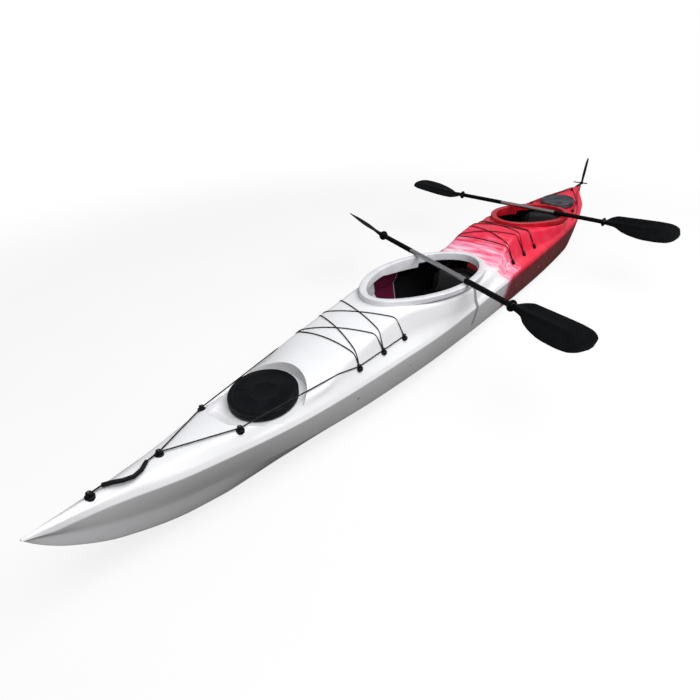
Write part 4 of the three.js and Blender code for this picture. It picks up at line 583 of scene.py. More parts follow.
def edit_mesh(piece, *steps):
    """Runs operators, given as names and values, on all of a piece's mesh."""
    select_only(piece)
    bpy.ops.object.mode_set(mode="EDIT")
    bpy.ops.mesh.select_all(action="SELECT")
    for name, values in steps:
        getattr(bpy.ops.mesh, name)(**values)
    bpy.ops.object.mode_set(mode="OBJECT")
    return piece


FACE_OUT = ("normals_make_consistent", {"inside": False})


def new_object(name, data):
    piece = bpy.data.objects.new(name, data)
    bpy.context.scene.collection.objects.link(piece)
    return piece


def ring_surface(name, rings, looped=False):
    """A closed skin stretched over rings of points, capped at its ends unless it is looped."""
    count = len(rings[0])
    points = [p for ring in rings for p in ring]
    faces = []
    last = len(rings) if looped else len(rings) - 1
    for i in range(last):
        j = (i + 1) % len(rings)
        for k in range(count):
            m = (k + 1) % count
            faces.append((i * count + k, i * count + m, j * count + m, j * count + k))
    if not looped:
        faces.append(tuple(range(count)))
        faces.append(tuple(range((len(rings) - 1) * count, len(rings) * count))[::-1])
    return edit_mesh(from_faces(name, points, faces), FACE_OUT)


def apply_modifier(piece, kind, **values):
    modifier = piece.modifiers.new(kind.lower(), kind)
    for key, value in values.items():
        setattr(modifier, key, value)
    select_only(piece)
    bpy.ops.object.modifier_apply(modifier=modifier.name)
    return piece


def combine(piece, tool, operation):
    """Cuts piece with tool, or adds the tool to it, and removes the tool."""
    apply_modifier(piece, "BOOLEAN", object=tool, operation=operation, solver="EXACT")
    bpy.data.objects.remove(tool)
    return piece


def smooth(piece, angle=30):
    select_only(piece)
    bpy.ops.object.shade_smooth_by_angle(angle=math.radians(angle))
    return piece


def join(pieces, name):
    deselect()
    for piece in pieces:
        piece.select_set(True)
    bpy.context.view_layer.objects.active = pieces[0]
    bpy.ops.object.join()
    pieces[0].name = name
    pieces[0].data.name = name
    return pieces[0]


def settle(piece, body, finishes, nodes=()):
    """Puts the piece's place into its mesh, gives it its finish and lets it ride on its body."""
    select_only(piece)
    bpy.ops.object.transform_apply(location=True, rotation=True, scale=True)
    if finishes:
        indices = [face.material_index for face in piece.data.polygons]
        piece.data.materials.clear()
        for finish in finishes:
            piece.data.materials.append(finish_named(finish))
        for face, index in zip(piece.data.polygons, indices):
            face.material_index = min(index, len(finishes) - 1)
    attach(piece, body)
    if nodes:
        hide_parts(*nodes)
    return piece


def merged_copy(node, name):
    """A copy of a solid with its loose triangles joined."""
    piece = new_object(name, NODES[node].data.copy())
    piece.data.materials.clear()
    return edit_mesh(piece, ("remove_doubles", {"threshold": WELD}))


def eased_copy(node, name, edge_mm, angle=32):
    """A copy with flat faces rejoined and its sharp edges rounded."""
    piece = merged_copy(node, name)
    edit_mesh(piece, ("dissolve_limited", {"angle_limit": math.radians(1.5)}))
    apply_modifier(
        piece, "BEVEL", width=edge_mm * MM, segments=2, limit_method="ANGLE",
        angle_limit=math.radians(angle), use_clamp_overlap=True,
    )
    return smooth(piece, 35)


def spun(name, profile, steps=48):
    """A profile of (radius, height) turned about Z."""
    deselect()
    bpy.ops.mesh.primitive_plane_add(size=1)
    piece = bpy.context.object
    piece.name = name
    mesh = bmesh.new()
    line = [mesh.verts.new((r * MM, 0, z * MM)) for r, z in profile]
    for a, b in zip(line, line[1:]):
        mesh.edges.new((a, b))
    mesh.to_mesh(piece.data)
    mesh.free()
    edit_mesh(piece, ("spin", {"steps": steps, "angle": 2 * math.pi, "center": (0, 0, 0), "axis": (0, 0, 1)}))
    return edit_mesh(piece, ("remove_doubles", {"threshold": FINE_WELD}), FACE_OUT)


def two_sided_faces(columns, rows):
    """The faces of a closed plate whose front and back are grids of points, joined round the rim."""
    half = (columns + 1) * (rows + 1)
    faces = []
    for i in range(columns):
        for k in range(rows):
            a, b = i * (rows + 1) + k, i * (rows + 1) + k + 1
            c, d = (i + 1) * (rows + 1) + k + 1, (i + 1) * (rows + 1) + k
            faces.append((a, b, c, d))
            faces.append((half + d, half + c, half + b, half + a))
    rim = list(range(rows + 1))
    rim += [i * (rows + 1) + rows for i in range(1, columns + 1)]
    rim += [columns * (rows + 1) + k for k in range(rows - 1, -1, -1)]
    rim += [i * (rows + 1) for i in range(columns - 1, 0, -1)]
    faces += [(a, b, half + b, half + a) for a, b in zip(rim, rim[1:] + rim[:1])]
    return faces


def mesh_box(piece):
    """The lowest and highest corners of a mesh at the origin."""
    places = [vertex.co for vertex in piece.data.vertices]
    return [[pick(place[axis] for place in places) for axis in range(3)] for pick in (min, max)]


def placed(piece, matrix):
    piece.data.transform(matrix)
    return piece


def box_piece(name, low, high, edge_mm=0.6):
    """A small block between two corners, with eased edges."""
    deselect()
    middle = [(a + b) / 2 * MM for a, b in zip(low, high)]
    bpy.ops.mesh.primitive_cube_add(size=1, location=middle)
    piece = bpy.context.object
    piece.name = name
    piece.scale = [(b - a) * MM for a, b in zip(low, high)]
    bpy.ops.object.transform_apply(location=True, rotation=True, scale=True)
    apply_modifier(piece, "BEVEL", width=edge_mm * MM, segments=3, limit_method="ANGLE")
    return piece


def round_bar(name, points):
    """A smooth round cord through points."""
    curve = bpy.data.curves.new(name, "CURVE")
    curve.dimensions = "3D"
    curve.bevel_depth = CORD_RADIUS * MM
    curve.bevel_resolution = 2
    curve.use_fill_caps = True
    spline = curve.splines.new("NURBS")
    spline.points.add(len(points) - 1)
    for point, place in zip(spline.points, points):
        point.co = (*(Vector(place) * MM), 1)
    spline.order_u = 3
    spline.use_endpoint_u = True
    spline.resolution_u = 6
    select_only(new_object(name, curve))
    bpy.ops.object.convert(target="MESH")
    return smooth(bpy.context.object, 40)


# The boat's surface, worked out as in its solids but with rounded corners and many more stations.
def mix(a, b, share):
    return a + (b - a) * share


def curve_through(rows, share):
    """A smooth curve through the rows that never overshoots them."""
    last = len(rows) - 1
    held = min(max(share, 0), 1)
    i = 0
    while i < last - 1 and held > rows[i + 1][0]:
        i += 1
    slopes = [(b[1] - a[1]) / (b[0] - a[0]) for a, b in zip(rows, rows[1:])]

    def tangent(k):
        before, after = slopes[max(k - 1, 0)], slopes[min(k, last - 1)]
        return 0 if before * after <= 0 else 2 * before * after / (before + after)

    width = rows[i + 1][0] - rows[i][0]
    t = (held - rows[i][0]) / width
    rise = rows[i][1] * (1 + 2 * t) * (1 - t) ** 2 + rows[i + 1][1] * t * t * (3 - 2 * t)
    return rise + width * (tangent(i) * t * (1 - t) ** 2 + tangent(i + 1) * t * t * (t - 1))


def half_section(share, finished=True):
    knees, crease_widths, creases, centres = FINISHED_DECK if finished else SOLID_DECK
    half = BEAM / 2 * curve_through(HALF_BEAM, share)
    keel = DEPTH * curve_through(KEEL, share)
    sheer = DEPTH * curve_through(SHEER, share)
    chine_y = half * curve_through(CHINE_WIDTH, share)
    chine_z = DEPTH * curve_through(CHINE_HEIGHT, share)
    flat_y = min(KEEL_WIDTH / 2, chine_y * 0.5)
    band_z = sheer - min(BAND_HEIGHT, (sheer - chine_z) / 2)
    edge_y = half - min(BAND_INSET, half * 0.2)
    crease_y = half * curve_through(crease_widths, share)
    crease_z = DEPTH * curve_through(creases, share)
    centre_z = DEPTH * curve_through(centres, share)
    rise = curve_through(FINISHED_KNEE_RISE, share) if finished else STRIP_RISE
    knee_z = sheer + min(rise, (crease_z - sheer) / (2 if finished else 3))
    return [
        (0, keel), (flat_y, keel), (mix(flat_y, chine_y, 0.5), mix(keel, chine_z, 0.42)), (chine_y, chine_z),
        (mix(chine_y, half, 0.58), mix(chine_z, band_z, 0.5)), (half, band_z), (edge_y, sheer),
        (half * curve_through(knees, share), knee_z), (crease_y, crease_z),
        (crease_y * 0.66, mix(crease_z, centre_z, 0.56)),
        (crease_y * 0.33, mix(crease_z, centre_z, 0.89)),
        (0, centre_z),
    ]


def share_of(x):
    return 0.5 - x / LENGTH


def station_shares(count, start=0.0, end=1.0):
    shares = [mix(i / count, (1 - math.cos(math.pi * i / count)) / 2, 0.5) for i in range(count + 1)]
    return [start] + [s for s in shares if start < s < end] + [end]


COARSE = [(LENGTH * (0.5 - s), half_section(s, False)) for s in station_shares(CAD_STATIONS)]


def coarse_section(x):
    i = 0
    while i < len(COARSE) - 2 and x < COARSE[i + 1][0]:
        i += 1
    t = min(max((COARSE[i][0] - x) / (COARSE[i][0] - COARSE[i + 1][0]), 0), 1)
    return [(mix(a[0], b[0], t), mix(a[1], b[1], t)) for a, b in zip(COARSE[i][1], COARSE[i + 1][1])]


def line_height(line, y):
    side = min(abs(y), line[0][0])
    k = 0
    while k < len(line) - 2 and side < line[k + 1][0]:
        k += 1
    (outer_y, outer_z), (inner_y, inner_z) = line[k], line[k + 1]
    t = min(max((outer_y - side) / max(outer_y - inner_y, GAP), 0), 1)
    return mix(outer_z, inner_z, t)


def rounded_half(half):
    """The half section with its corners rounded; its first and last points lie on the centreline."""
    mirrored_top = [(-y, z) for y, z in half[-2:-3:-1]]
    line = half + mirrored_top
    ring = [line[0]]
    for i in range(1, len(line) - 1):
        p, a, b = Vector(line[i]), Vector(line[i - 1]), Vector(line[i + 1])
        before, after = a - p, b - p
        reach = min(CORNER_RADII[i], 0.48 * before.length, 0.48 * after.length)
        start = p + before.normalized() * reach
        end = p + after.normalized() * reach
        for k in range(CORNER_STEPS + 1):
            s = k / CORNER_STEPS
            point = start * (1 - s) ** 2 + p * 2 * s * (1 - s) + end * s * s
            ring.append((point.x, point.y))
    middle = ring[1 + (len(half) - 2) * (CORNER_STEPS + 1) + CORNER_STEPS // 2]
    return [ring[0], *[p for p in ring if p[0] > 1e-6], (0, middle[1])]


def fine_section(x):
    return half_section(share_of(x))


def fine_deck_line(x):
    section = rounded_half(fine_section(x))
    start = max(range(len(section)), key=lambda k: (section[k][0], section[k][1]))
    return section[start:]


def deck_rise(x, y):
    """How far the finished deck stands above the solid's faceted one."""
    return line_height(fine_deck_line(x), y) - line_height(coarse_section(x)[6:], y)


def inset_half(half, distance):
    """The half section moved inwards along its mitred corners."""
    count = len(half)
    moved = []
    for i, (y, z) in enumerate(half):
        before = Vector(half[i]) - Vector(half[i - 1]) if i else Vector((1, 0))
        after = Vector(half[i + 1]) - Vector(half[i]) if i < count - 1 else Vector((-1, 0))
        before.normalize()
        after.normalize()
        normal = Vector((-before.y - after.y, before.x + after.x)).normalized()
        mitre = distance / max(normal.x * -before.y + normal.y * before.x, 0.5)
        moved.append((0 if i in (0, count - 1) else y + normal.x * mitre, z + normal.y * mitre))
    return moved


def boat_body(name, count, start, end, inset):
    rings = []
    shares = station_shares(count, start, end)
    for share in shares:
        half = half_section(share)
        if inset:
            half = inset_half(half, inset)
        line = rounded_half(half)
        ring = line + [(-y, z) for y, z in line[-2:0:-1]]
        rings.append([(LENGTH * (0.5 - share), y, z) for y, z in ring])
    if not inset:
        rings = end_caps(rings)
    return ring_surface(name, rings)


def end_caps(rings):
    """Rounds the bow and stern by drawing the last rings in over a short run."""
    def drawn_in(ring, share, step):
        y0 = sum(p[1] for p in ring) / len(ring)
        z0 = sum(p[2] for p in ring) / len(ring)
        return [(p[0] + step, mix(y0, p[1], share), mix(z0, p[2], share)) for p in ring]

    bow = [drawn_in(rings[0], math.cos(a), 5 * math.sin(a)) for a in (1.35, 1.0, 0.6, 0.3)]
    stern = [drawn_in(rings[-1], math.cos(a), -5 * math.sin(a)) for a in (0.3, 0.6, 1.0, 1.35)]
    return bow + rings + stern


def cockpit_outline(spec, offset, angles):
    def at(angle):
        along = math.cos(angle)
        narrowing = 1 - 0.18 * max(along, 0) ** 2
        return Vector((spec["length"] / 2 * along, spec["width"] / 2 * math.sin(angle) * narrowing))

    outline = []
    for angle in angles:
        tangent = (at(angle + 0.001) - at(angle - 0.001)).normalized()
        point = at(angle)
        outline.append((point.x + tangent.y * offset, point.y - tangent.x * offset))
    return outline


def plane_height(spec, x):
    return spec["top"] + spec["slope"] * (x - spec["x"])


def on_plane(spec, x, y, z):
    return (spec["x"] + x, y, plane_height(spec, spec["x"] + x) + z)


def even_angles(steps):
    return [2 * math.pi * i / steps for i in range(steps)]


def plug(name, spec, outline, low, high):
    """A straight-sided plug of the outline's shape, cut to the opening's own sloping plane."""
    rings = [[on_plane(spec, x, y, z) for x, y in outline] for z in (low, high)]
    return ring_surface(name, rings)


def oval(spec, offset, steps=96):
    half_x, half_y = spec["length"] / 2 + offset, spec["width"] / 2 + offset
    return [(half_x * math.cos(a), half_y * math.sin(a)) for a in even_angles(steps)]


def above_seam():
    """All that lies above the seam, which runs along the band under the deck's edge."""
    overrun = 60
    rings = []
    for share in station_shares(60):
        half = half_section(share)
        seam = mix(half[5][1], half[6][1], 0.2)
        x = LENGTH * (0.5 - share) + {0: overrun, 1: -overrun}.get(share, 0)
        rings.append([
            (x, -CUT_SIDE, seam), (x, CUT_SIDE, seam), (x, CUT_SIDE, CUT_TOP), (x, -CUT_SIDE, CUT_TOP)
        ])
    return ring_surface("seam", rings)


def mark_inside(piece):
    """Gives the faces that look into the cockpits the second finish, the inside one with its painted shade.
    """
    middle_z, reach, steep = 150, 12, 0.7
    rear_end, front_end = -1790, 860
    for face in piece.data.polygons:
        x, y, z = face.center / MM
        inwards = face.normal.y * y + face.normal.z * (z - middle_z) < 0
        for spec in (FRONT_COCKPIT, REAR_COCKPIT):
            away = x - spec["x"]
            near = abs(away) < spec["length"] / 2 + reach and abs(y) < spec["width"] / 2 + reach
            if near and abs(face.normal.z) < steep and face.normal.x * away + face.normal.y * y < 0:
                inwards = True
        face.material_index = 1 if inwards and rear_end < x < front_end else 0


def apron(name, drop):
    """The scoop ahead of the front cover: level with its seat, then ramped up to the deck."""
    spec = FRONT_HATCH
    start, end, half_width, half_length, steps = 1600, 1890, 166, 255, 14
    ramp_start, ramp_length, ramp_low, ramp_high = 1812, 68, 304, 362
    rings = []
    for i in range(steps + 1):
        x = mix(start, end + 2 * drop, i / steps)
        width = half_width * math.sqrt(max(1 - ((x - spec["x"]) / half_length) ** 2, 0.02)) + 2 * drop
        floor = plane_height(spec, x) - COVER_HEIGHT
        climb = mix(ramp_low, ramp_high, min(max((x - ramp_start) / ramp_length, 0), 1.3))
        low = max(floor, climb) - drop
        rings.append([(x, -width, low), (x, width, low), (x, width, CUT_TOP), (x, -width, CUT_TOP)])
    return ring_surface(name, rings)


class KAYAK_OT_shell(bpy.types.Operator):
    """Models the hull and the deck with rounded chines, risers, hatch seats and open cockpits"""

    bl_idname = "kayak.shell"
    bl_label = "Hull and deck"

    def execute(self, context):
        outer = boat_body("outer", STATION_COUNT, 0, 1, 0)
        inner = boat_body("inner", STATION_COUNT, HOLLOW[0], HOLLOW[1], WALL)
        angles = even_angles(120)
        for spec in (FRONT_COCKPIT, REAR_COCKPIT):
            outline = cockpit_outline(spec, RISER_INSET + WALL, angles)
            combine(outer, plug("riser", spec, outline, -DEPTH / 2, -COAMING_WALL - GAP), "UNION")
        for spec in (FRONT_HATCH, REAR_HATCH):
            margin = FRONT_RECESS_MARGIN if spec is FRONT_HATCH else RECESS_MARGIN
            foot, top = -COVER_HEIGHT - WALL, -COVER_BEAD - COVER_WALL - GAP
            combine(outer, plug("recess", spec, oval(spec, margin), -COVER_HEIGHT, RECESS_TOP), "DIFFERENCE")
            combine(outer, plug("rim", spec, oval(spec, -RIM_INSET), foot, top), "UNION")
            combine(inner, plug("under", spec, oval(spec, margin + WALL), foot, RECESS_TOP), "DIFFERENCE")
        combine(outer, apron("apron", 0), "DIFFERENCE")
        combine(inner, apron("under_apron", WALL), "DIFFERENCE")
        combine(outer, inner, "DIFFERENCE")
        for spec in (FRONT_COCKPIT, REAR_COCKPIT):
            outline = cockpit_outline(spec, RISER_INSET, angles)
            combine(outer, plug("mouth", spec, outline, -DEPTH / 2, PLUG_TOP), "DIFFERENCE")
        for spec in (FRONT_HATCH, REAR_HATCH):
            outline = oval(spec, -RIM_INSET - RIM_WALL)
            combine(outer, plug("mouth", spec, outline, -DEPTH / 2, PLUG_TOP), "DIFFERENCE")
        deck = new_object("deck_skin", outer.data.copy())
        outer.name = "hull_skin"
        combine(deck, above_seam(), "INTERSECT")
        combine(outer, above_seam(), "DIFFERENCE")
        for piece, slot, nodes in (
            (outer, "white_shell", ["hull_shell"]),
            (deck, "red_shell", ["deck_fore", "deck_mid", "deck_aft"]),
        ):
            smooth(piece, 28)
            mark_inside(piece)
            piece.data.materials.append(None)
            piece.data.materials.append(None)
            settle(piece, "boat", ["two_tone", "inside_painted_shade"], nodes)
        return {"FINISHED"}


class KAYAK_OT_coamings(bpy.types.Operator):
    """Models the cockpit coamings: rolled flange, lip, skirt and drilled thigh-brace tabs"""

    bl_idname = "kayak.coamings"
    bl_label = "Cockpit coamings"

    def execute(self, context):
        for spec, node, slot, finish in (
            (FRONT_COCKPIT, "coaming_front", "white_shell", "white"),
            (REAR_COCKPIT, "coaming_rear", "deep_red", "deep_red"),
        ):
            brace = spec["brace_x"] - spec["x"]
            edges = [math.acos((brace + shift) / (spec["length"] / 2)) for shift in (-2, 2)]
            angles = sorted(even_angles(168) + edges + [2 * math.pi - a for a in edges])
            rings = []
            outlines = [cockpit_outline(spec, offset, angles) for offset, _ in self.profile(COAMING_SKIRT)]
            for i, angle in enumerate(angles):
                run = math.cos(angle) * spec["length"] / 2 - brace
                share = 0 if run < 0 else min(max(1 - run / BRACE_LENGTH, 0), 1)
                depth = mix(COAMING_SKIRT, BRACE_DEPTH, math.sqrt(share))
                heights = [height for _, height in self.profile(depth)]
                rings.append([on_plane(spec, *outlines[k][i], height) for k, height in enumerate(heights)])
            piece = ring_surface(node + "_rim", rings, looped=True)
            for step in BRACE_HOLES:
                x = spec["brace_x"] + step
                bore = ((0, -1), (BRACE_HOLE_RADIUS, -1), (BRACE_HOLE_RADIUS, 1), (0, 1))
                drill = spun("drill", [(radius, end * CUT_SIDE) for radius, end in bore], 20)
                turn = Matrix.Rotation(math.pi / 2, 4, "X")
                height = plane_height(spec, x) - BRACE_HOLE_DEPTH * (1 - step / LENGTH)
                placed(drill, Matrix.Translation((x * MM, 0, height * MM)) @ turn)
                combine(piece, drill, "DIFFERENCE")
            smooth(piece, 40)
            settle(piece, "boat", [finish], [node])
        return {"FINISHED"}

    @staticmethod
    def profile(depth):
        wall, flange = COAMING_WALL, COAMING_FLANGE

        def arc(radius, turns):
            y, z = flange - 2 * wall, -2 * wall
            return [(y + radius * math.sin(a), z + radius * math.cos(a)) for a in turns]

        outer_roll = arc(2 * wall, (0.0, 0.4, 0.8, 1.2, 1.57))
        inner_roll = arc(wall, (1.57, 0.8, 0.0))
        return [
            (-2, -depth), (-2, -1.6 * wall), (-1.2, -0.6 * wall), (1.5, 0), *outer_roll,
            (flange, -COAMING_LIP), (flange - wall, -COAMING_LIP), *inner_roll,
            (RISER_INSET - GAP, -wall), (RISER_INSET - GAP, -depth),
        ]


class KAYAK_OT_hatches(bpy.types.Operator):
    """Models the two rubber hatch covers with their ring, low ribs, bead and rolled rim"""

    bl_idname = "kayak.hatches"
    bl_label = "Hatch covers"

    def execute(self, context):
        for spec, node, finish in (
            (FRONT_HATCH, "hatch_cover_front", "rubber"), (REAR_HATCH, "hatch_cover_rear", "rubber_painted_sheen"),
        ):
            radius = spec["length"] / 2
            cover = spun(node + "_dome", [(radius * share, z) for share, z in self.profile()], 96)
            for i in range(4):
                combine(cover, self.rib(radius, i), "UNION")
            wide = spec["width"] / spec["length"]
            for vertex in cover.data.vertices:
                x, y, z = vertex.co / MM
                vertex.co = Vector(on_plane(spec, x, y * wide, z)) * MM
            smooth(cover, 35)
            settle(cover, node, [finish], [node])
        return {"FINISHED"}

    @staticmethod
    def profile():
        """The cover's section, out from its middle and back inside: shares of its radius and heights."""
        foot = COVER_HEIGHT - 5
        lid = COVER_BEAD + COVER_WALL
        ring = [(0, -3.2), (0.1, -3.2), (0.37, -3.2), (0.385, -2.2), (0.4, -1.9), (0.415, -2.2), (0.43, -3.2)]
        bead = [
            (0.84, -3.2), (0.86, -2.8), (0.875, -1.2), (0.89, -0.5), (0.905, -1.2), (0.915, -2.4),
            (0.93, -1.4), (0.945, -0.2), (0.965, 0), (0.985, -1.2), (0.997, -4), (1, -9),
        ]
        skirt = [
            (0.992, -12), (0.982, -13), (0.98, -15), (0.992, -17), (1, -20), (1, -foot * 0.8),
            (0.995, -foot * 0.92), (0.99, -foot),
        ]
        inside = [(0.875, -foot), (0.868, -foot + 3), (0.865, -lid - 2), (0.85, -lid), (0, -lid)]
        return ring + bead + skirt + inside

    @staticmethod
    def rib(radius, index):
        """A low narrow rib between the ring and the bead."""
        inner, outer = radius * 0.44, radius * 0.8
        wedge = [(inner, -1.2), (outer, -1.2), (outer, 1.2), (inner, 1.2)]
        turn = Matrix.Rotation(math.pi / 2 * index + 0.42, 3, "Z")
        rib = ring_surface("rib", [[turn @ Vector((x, y, z)) for x, y in wedge] for z in (-6, -2.1)])
        return apply_modifier(rib, "BEVEL", width=0.5 * MM, segments=2, limit_method="ANGLE")


class KAYAK_OT_cockpit_fittings(bpy.types.Operator):
    """Finishes the seats, backrests, foot rails, pedals and bulkheads"""

    bl_idname = "kayak.cockpit_fittings"
    bl_label = "Seats, rails and bulkheads"

    def execute(self, context):
        for end in ("front", "rear"):
            node = f"seat_{end}"
            settle(eased_copy(node, node + "_pan", 2.5), "boat", ["seat_shell"], [node])
            node = f"backrest_{end}"
            settle(eased_copy(node, node + "_shell", 1.6, 40), node, ["seat_shell"], [node])
            foam = NODES[f"bulkhead_{end}"].data.materials
            foam.clear()
            foam.append(finish_named("foam"))
            for hand in ("port", "starboard"):
                node = f"foot_rail_{end}_{hand}"
                settle(eased_copy(node, node + "_track", 0.8), "boat", ["rail"], [node])
                node = f"foot_pedal_{end}_{hand}"
                settle(eased_copy(node, node + "_plate", 1.4), node, ["nylon"], [node])
        return {"FINISHED"}


class KAYAK_OT_pads(bpy.types.Operator):
    """Fills the seat and backrest pads and sews their channels"""

    bl_idname = "kayak.pads"
    bl_label = "Seat pads"

    def execute(self, context):
        for end, back_x in (("front", -127), ("rear", -1716)):
            node = f"seat_pad_{end}"
            pad = self.stuffed(merged_copy(node, node + "_cushion"))
            settle(pad, "boat", ["cloth"], [node])
            pad = self.stuffed(self.back_form(f"back_pad_{end}_cushion", back_x))
            settle(pad, f"backrest_{end}", ["cloth"])
        return {"FINISHED"}

    @staticmethod
    def back_form(name, back_x):
        """A crowned pad that follows the backrest's curve, thinnest at its edges and pinched corners."""
        columns, rows = 20, 10
        width, height, thick, middle = 294, 148, 24, 94.5
        pivot_z, lean, curl = 104, math.tan(math.radians(10)), 62

        def at(i, k, front):
            u, v = 2 * i / columns - 1, 2 * k / rows - 1
            y = u * width / 2 * (1 - 0.05 * (1 - v * v))
            z = middle + v * height / 2 * (1 - 0.05 * (1 - u * u))
            crown = (1 - u ** 4) * (1 - v ** 4)
            depth = 1.5 + (thick * (0.3 + 0.7 * crown) if front else 0)
            return (back_x + curl * (y / 160) ** 2 - lean * z + depth, y, pivot_z + z)

        points = [
            at(i, k, front)
            for front in (True, False) for i in range(columns + 1) for k in range(rows + 1)
        ]
        return edit_mesh(from_faces(name, points, two_sided_faces(columns, rows)), FACE_OUT)

    @staticmethod
    def stuffed(pad):
        """Fills a pad with pressure in a cloth simulation, then sews its channels."""
        low, high = (Vector(corner) for corner in mesh_box(pad))
        middle = (low + high) / 2
        for vertex in pad.data.vertices:
            vertex.co = middle + (vertex.co - middle) * PAD_START
        apply_modifier(pad, "REMESH", mode="VOXEL", voxel_size=PAD_VOXEL)
        rest = [vertex.co.copy() for vertex in pad.data.vertices]
        select_only(pad)
        cloth = pad.modifiers.new("cloth", "CLOTH")
        cloth.settings.use_pressure = True
        cloth.settings.uniform_pressure_force = 4
        cloth.settings.effector_weights.gravity = 0
        cloth.point_cache.frame_start = 1
        cloth.point_cache.frame_end = PAD_FRAMES
        for step in range(1, PAD_FRAMES + 1):
            bpy.context.scene.frame_set(step)
        bpy.ops.object.modifier_apply(modifier=cloth.name)
        bpy.context.scene.frame_set(1)
        for vertex, start in zip(pad.data.vertices, rest):
            shift = vertex.co - start
            if shift.length > PAD_SWELL:
                vertex.co = start + shift.normalized() * PAD_SWELL
        # Two sewn channels run along the pad, drawn in after it is filled.
        width = high.y - low.y
        for vertex in pad.data.vertices:
            for seam in (-0.25, 0.25):
                distance = abs(vertex.co.y - middle.y - seam * width)
                if distance < SEAM_REACH:
                    pull = SEAM_DEPTH * math.cos(distance / SEAM_REACH * math.pi / 2) ** 2
                    vertex.co -= (vertex.co - middle).normalized() * pull
        apply_modifier(pad, "SUBSURF", levels=1, render_levels=1)
        return smooth(pad, 60)


def lifted(piece):
    """Moves a cord's copy up by what the finished deck stands above the faceted one.

    What hangs clear of the deck by more than a free height stays where it is.
    """
    free_from, free_run = 20, 15
    for vertex in piece.data.vertices:
        x, y, z = vertex.co / MM
        free = z - line_height(coarse_section(x)[6:], y) - free_from
        vertex.co.z += deck_rise(x, y) * (1 - min(max(free / free_run, 0), 1)) * MM
    return piece


def rounded_cord(node, name):
    """A copy of a cord, divided along its length, laid on the finished deck and rounded."""
    piece = merged_copy(node, name)
    quad_angle = math.radians(60)
    edit_mesh(piece, ("tris_convert_to_quads", {"face_threshold": quad_angle, "shape_threshold": quad_angle}))
    mesh = bmesh.new()
    mesh.from_mesh(piece.data)
    for _ in range(4):
        long_edges = [edge for edge in mesh.edges if edge.calc_length() > CORD_STEP]
        if long_edges:
            bmesh.ops.subdivide_edges(mesh, edges=long_edges, cuts=1, use_grid_fill=True)
    mesh.to_mesh(piece.data)
    mesh.free()
    lifted(piece)
    edit_mesh(piece, FACE_OUT)
    bpy.ops.object.mode_set(mode="EDIT")
    bpy.ops.transform.shrink_fatten(value=CORD_SWELL * MM)
    bpy.ops.object.mode_set(mode="OBJECT")
    return smooth(piece, 60)


def eye_place(node):
    """Where an eye stands on the finished deck and how high its seat is."""
    low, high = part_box(node)
    x, y = (low.x + high.x) / 2 / MM, (low.y + high.y) / 2 / MM
    if node.startswith("foredeck_eye_"):
        x, side = FORE_EYES[int(node[-1]) - 1]
        y = math.copysign(side, y)
    return x, y, line_height(fine_deck_line(x), y)


class KAYAK_OT_deck_lines(bpy.types.Operator):
    """Lays the lacings, deck lines and steering cables on the finished deck"""

    bl_idname = "kayak.deck_lines"
    bl_label = "Deck lines"

    def execute(self, context):
        fore = FORE_EYES[::-1]
        middle = sorted(eye_place(f"middeck_eye_port_{n}")[:2] for n in (1, 2, 3))
        ladder = [(0, 1), (1, 0), (1, 2), (2, 1), (2, 2)]
        for piece, node, finish in (
            (self.lacing("foredeck_lacing", fore, ladder), "foredeck_lacing", "cord"),
            (self.lacing("middeck_lacing", middle, [(0, 0), *ladder]), "middeck_lacing", "cord"),
            (self.deck_line(), "foredeck_line", "cord"),
            (rounded_cord("stern_line", "stern_line_braid"), "stern_line", "cord"),
            (rounded_cord("rudder_cable_port", "rudder_cable_port_sleeve"), "rudder_cable_port", "cable"),
            (
                rounded_cord("rudder_cable_starboard", "rudder_cable_starboard_sleeve"),
                "rudder_cable_starboard", "cable",
            ),
        ):
            settle(piece, "boat", [finish], [node])
        return {"FINISHED"}

    def lacing(self, node, port, pairs):
        """A lacing drawn taut over the raised deck, from port eyes to the starboard eyes they pair with."""
        bars = [round_bar("strand", self.taut(port[i], (port[k][0], -port[k][1]))) for i, k in pairs]
        return join(bars, node + "_braid")

    def deck_line(self):
        """The safety line, from the bow eye past the hatch to the last lacing eye on each side."""
        bars = []
        bow = eye_place("handle_eye_2")
        for hand, side in (("port", 1), ("starboard", -1)):
            stops = [bow[:2], eye_place(f"hatch_eye_{hand}")[:2]] + [(x, y * side) for x, y in FORE_EYES]
            for a, b in zip(stops, stops[1:]):
                bars.append(round_bar("line", self.taut(a, b)))
        return join(bars, "foredeck_line_braid")

    @staticmethod
    def taut(first, last):
        """Points of a strand that bridges the hollows of the deck and bends over its creases."""
        count = 40
        end_seat, seat_gap = 11, 0.4
        track = []
        for i in range(count + 1):
            x, y = mix(first[0], last[0], i / count), mix(first[1], last[1], i / count)
            seat = end_seat if i in (0, count) else CORD_RADIUS + seat_gap
            track.append((i, (x, y, line_height(fine_deck_line(x), y) + seat)))
        upper = []
        for i, point in track:
            while len(upper) > 1:
                (j, p), (k, q) = upper[-2:]
                if (q[2] - p[2]) * (i - j) >= (point[2] - p[2]) * (k - j):
                    break
                upper.pop()
            upper.append((i, point))
        return [point for _, point in upper]


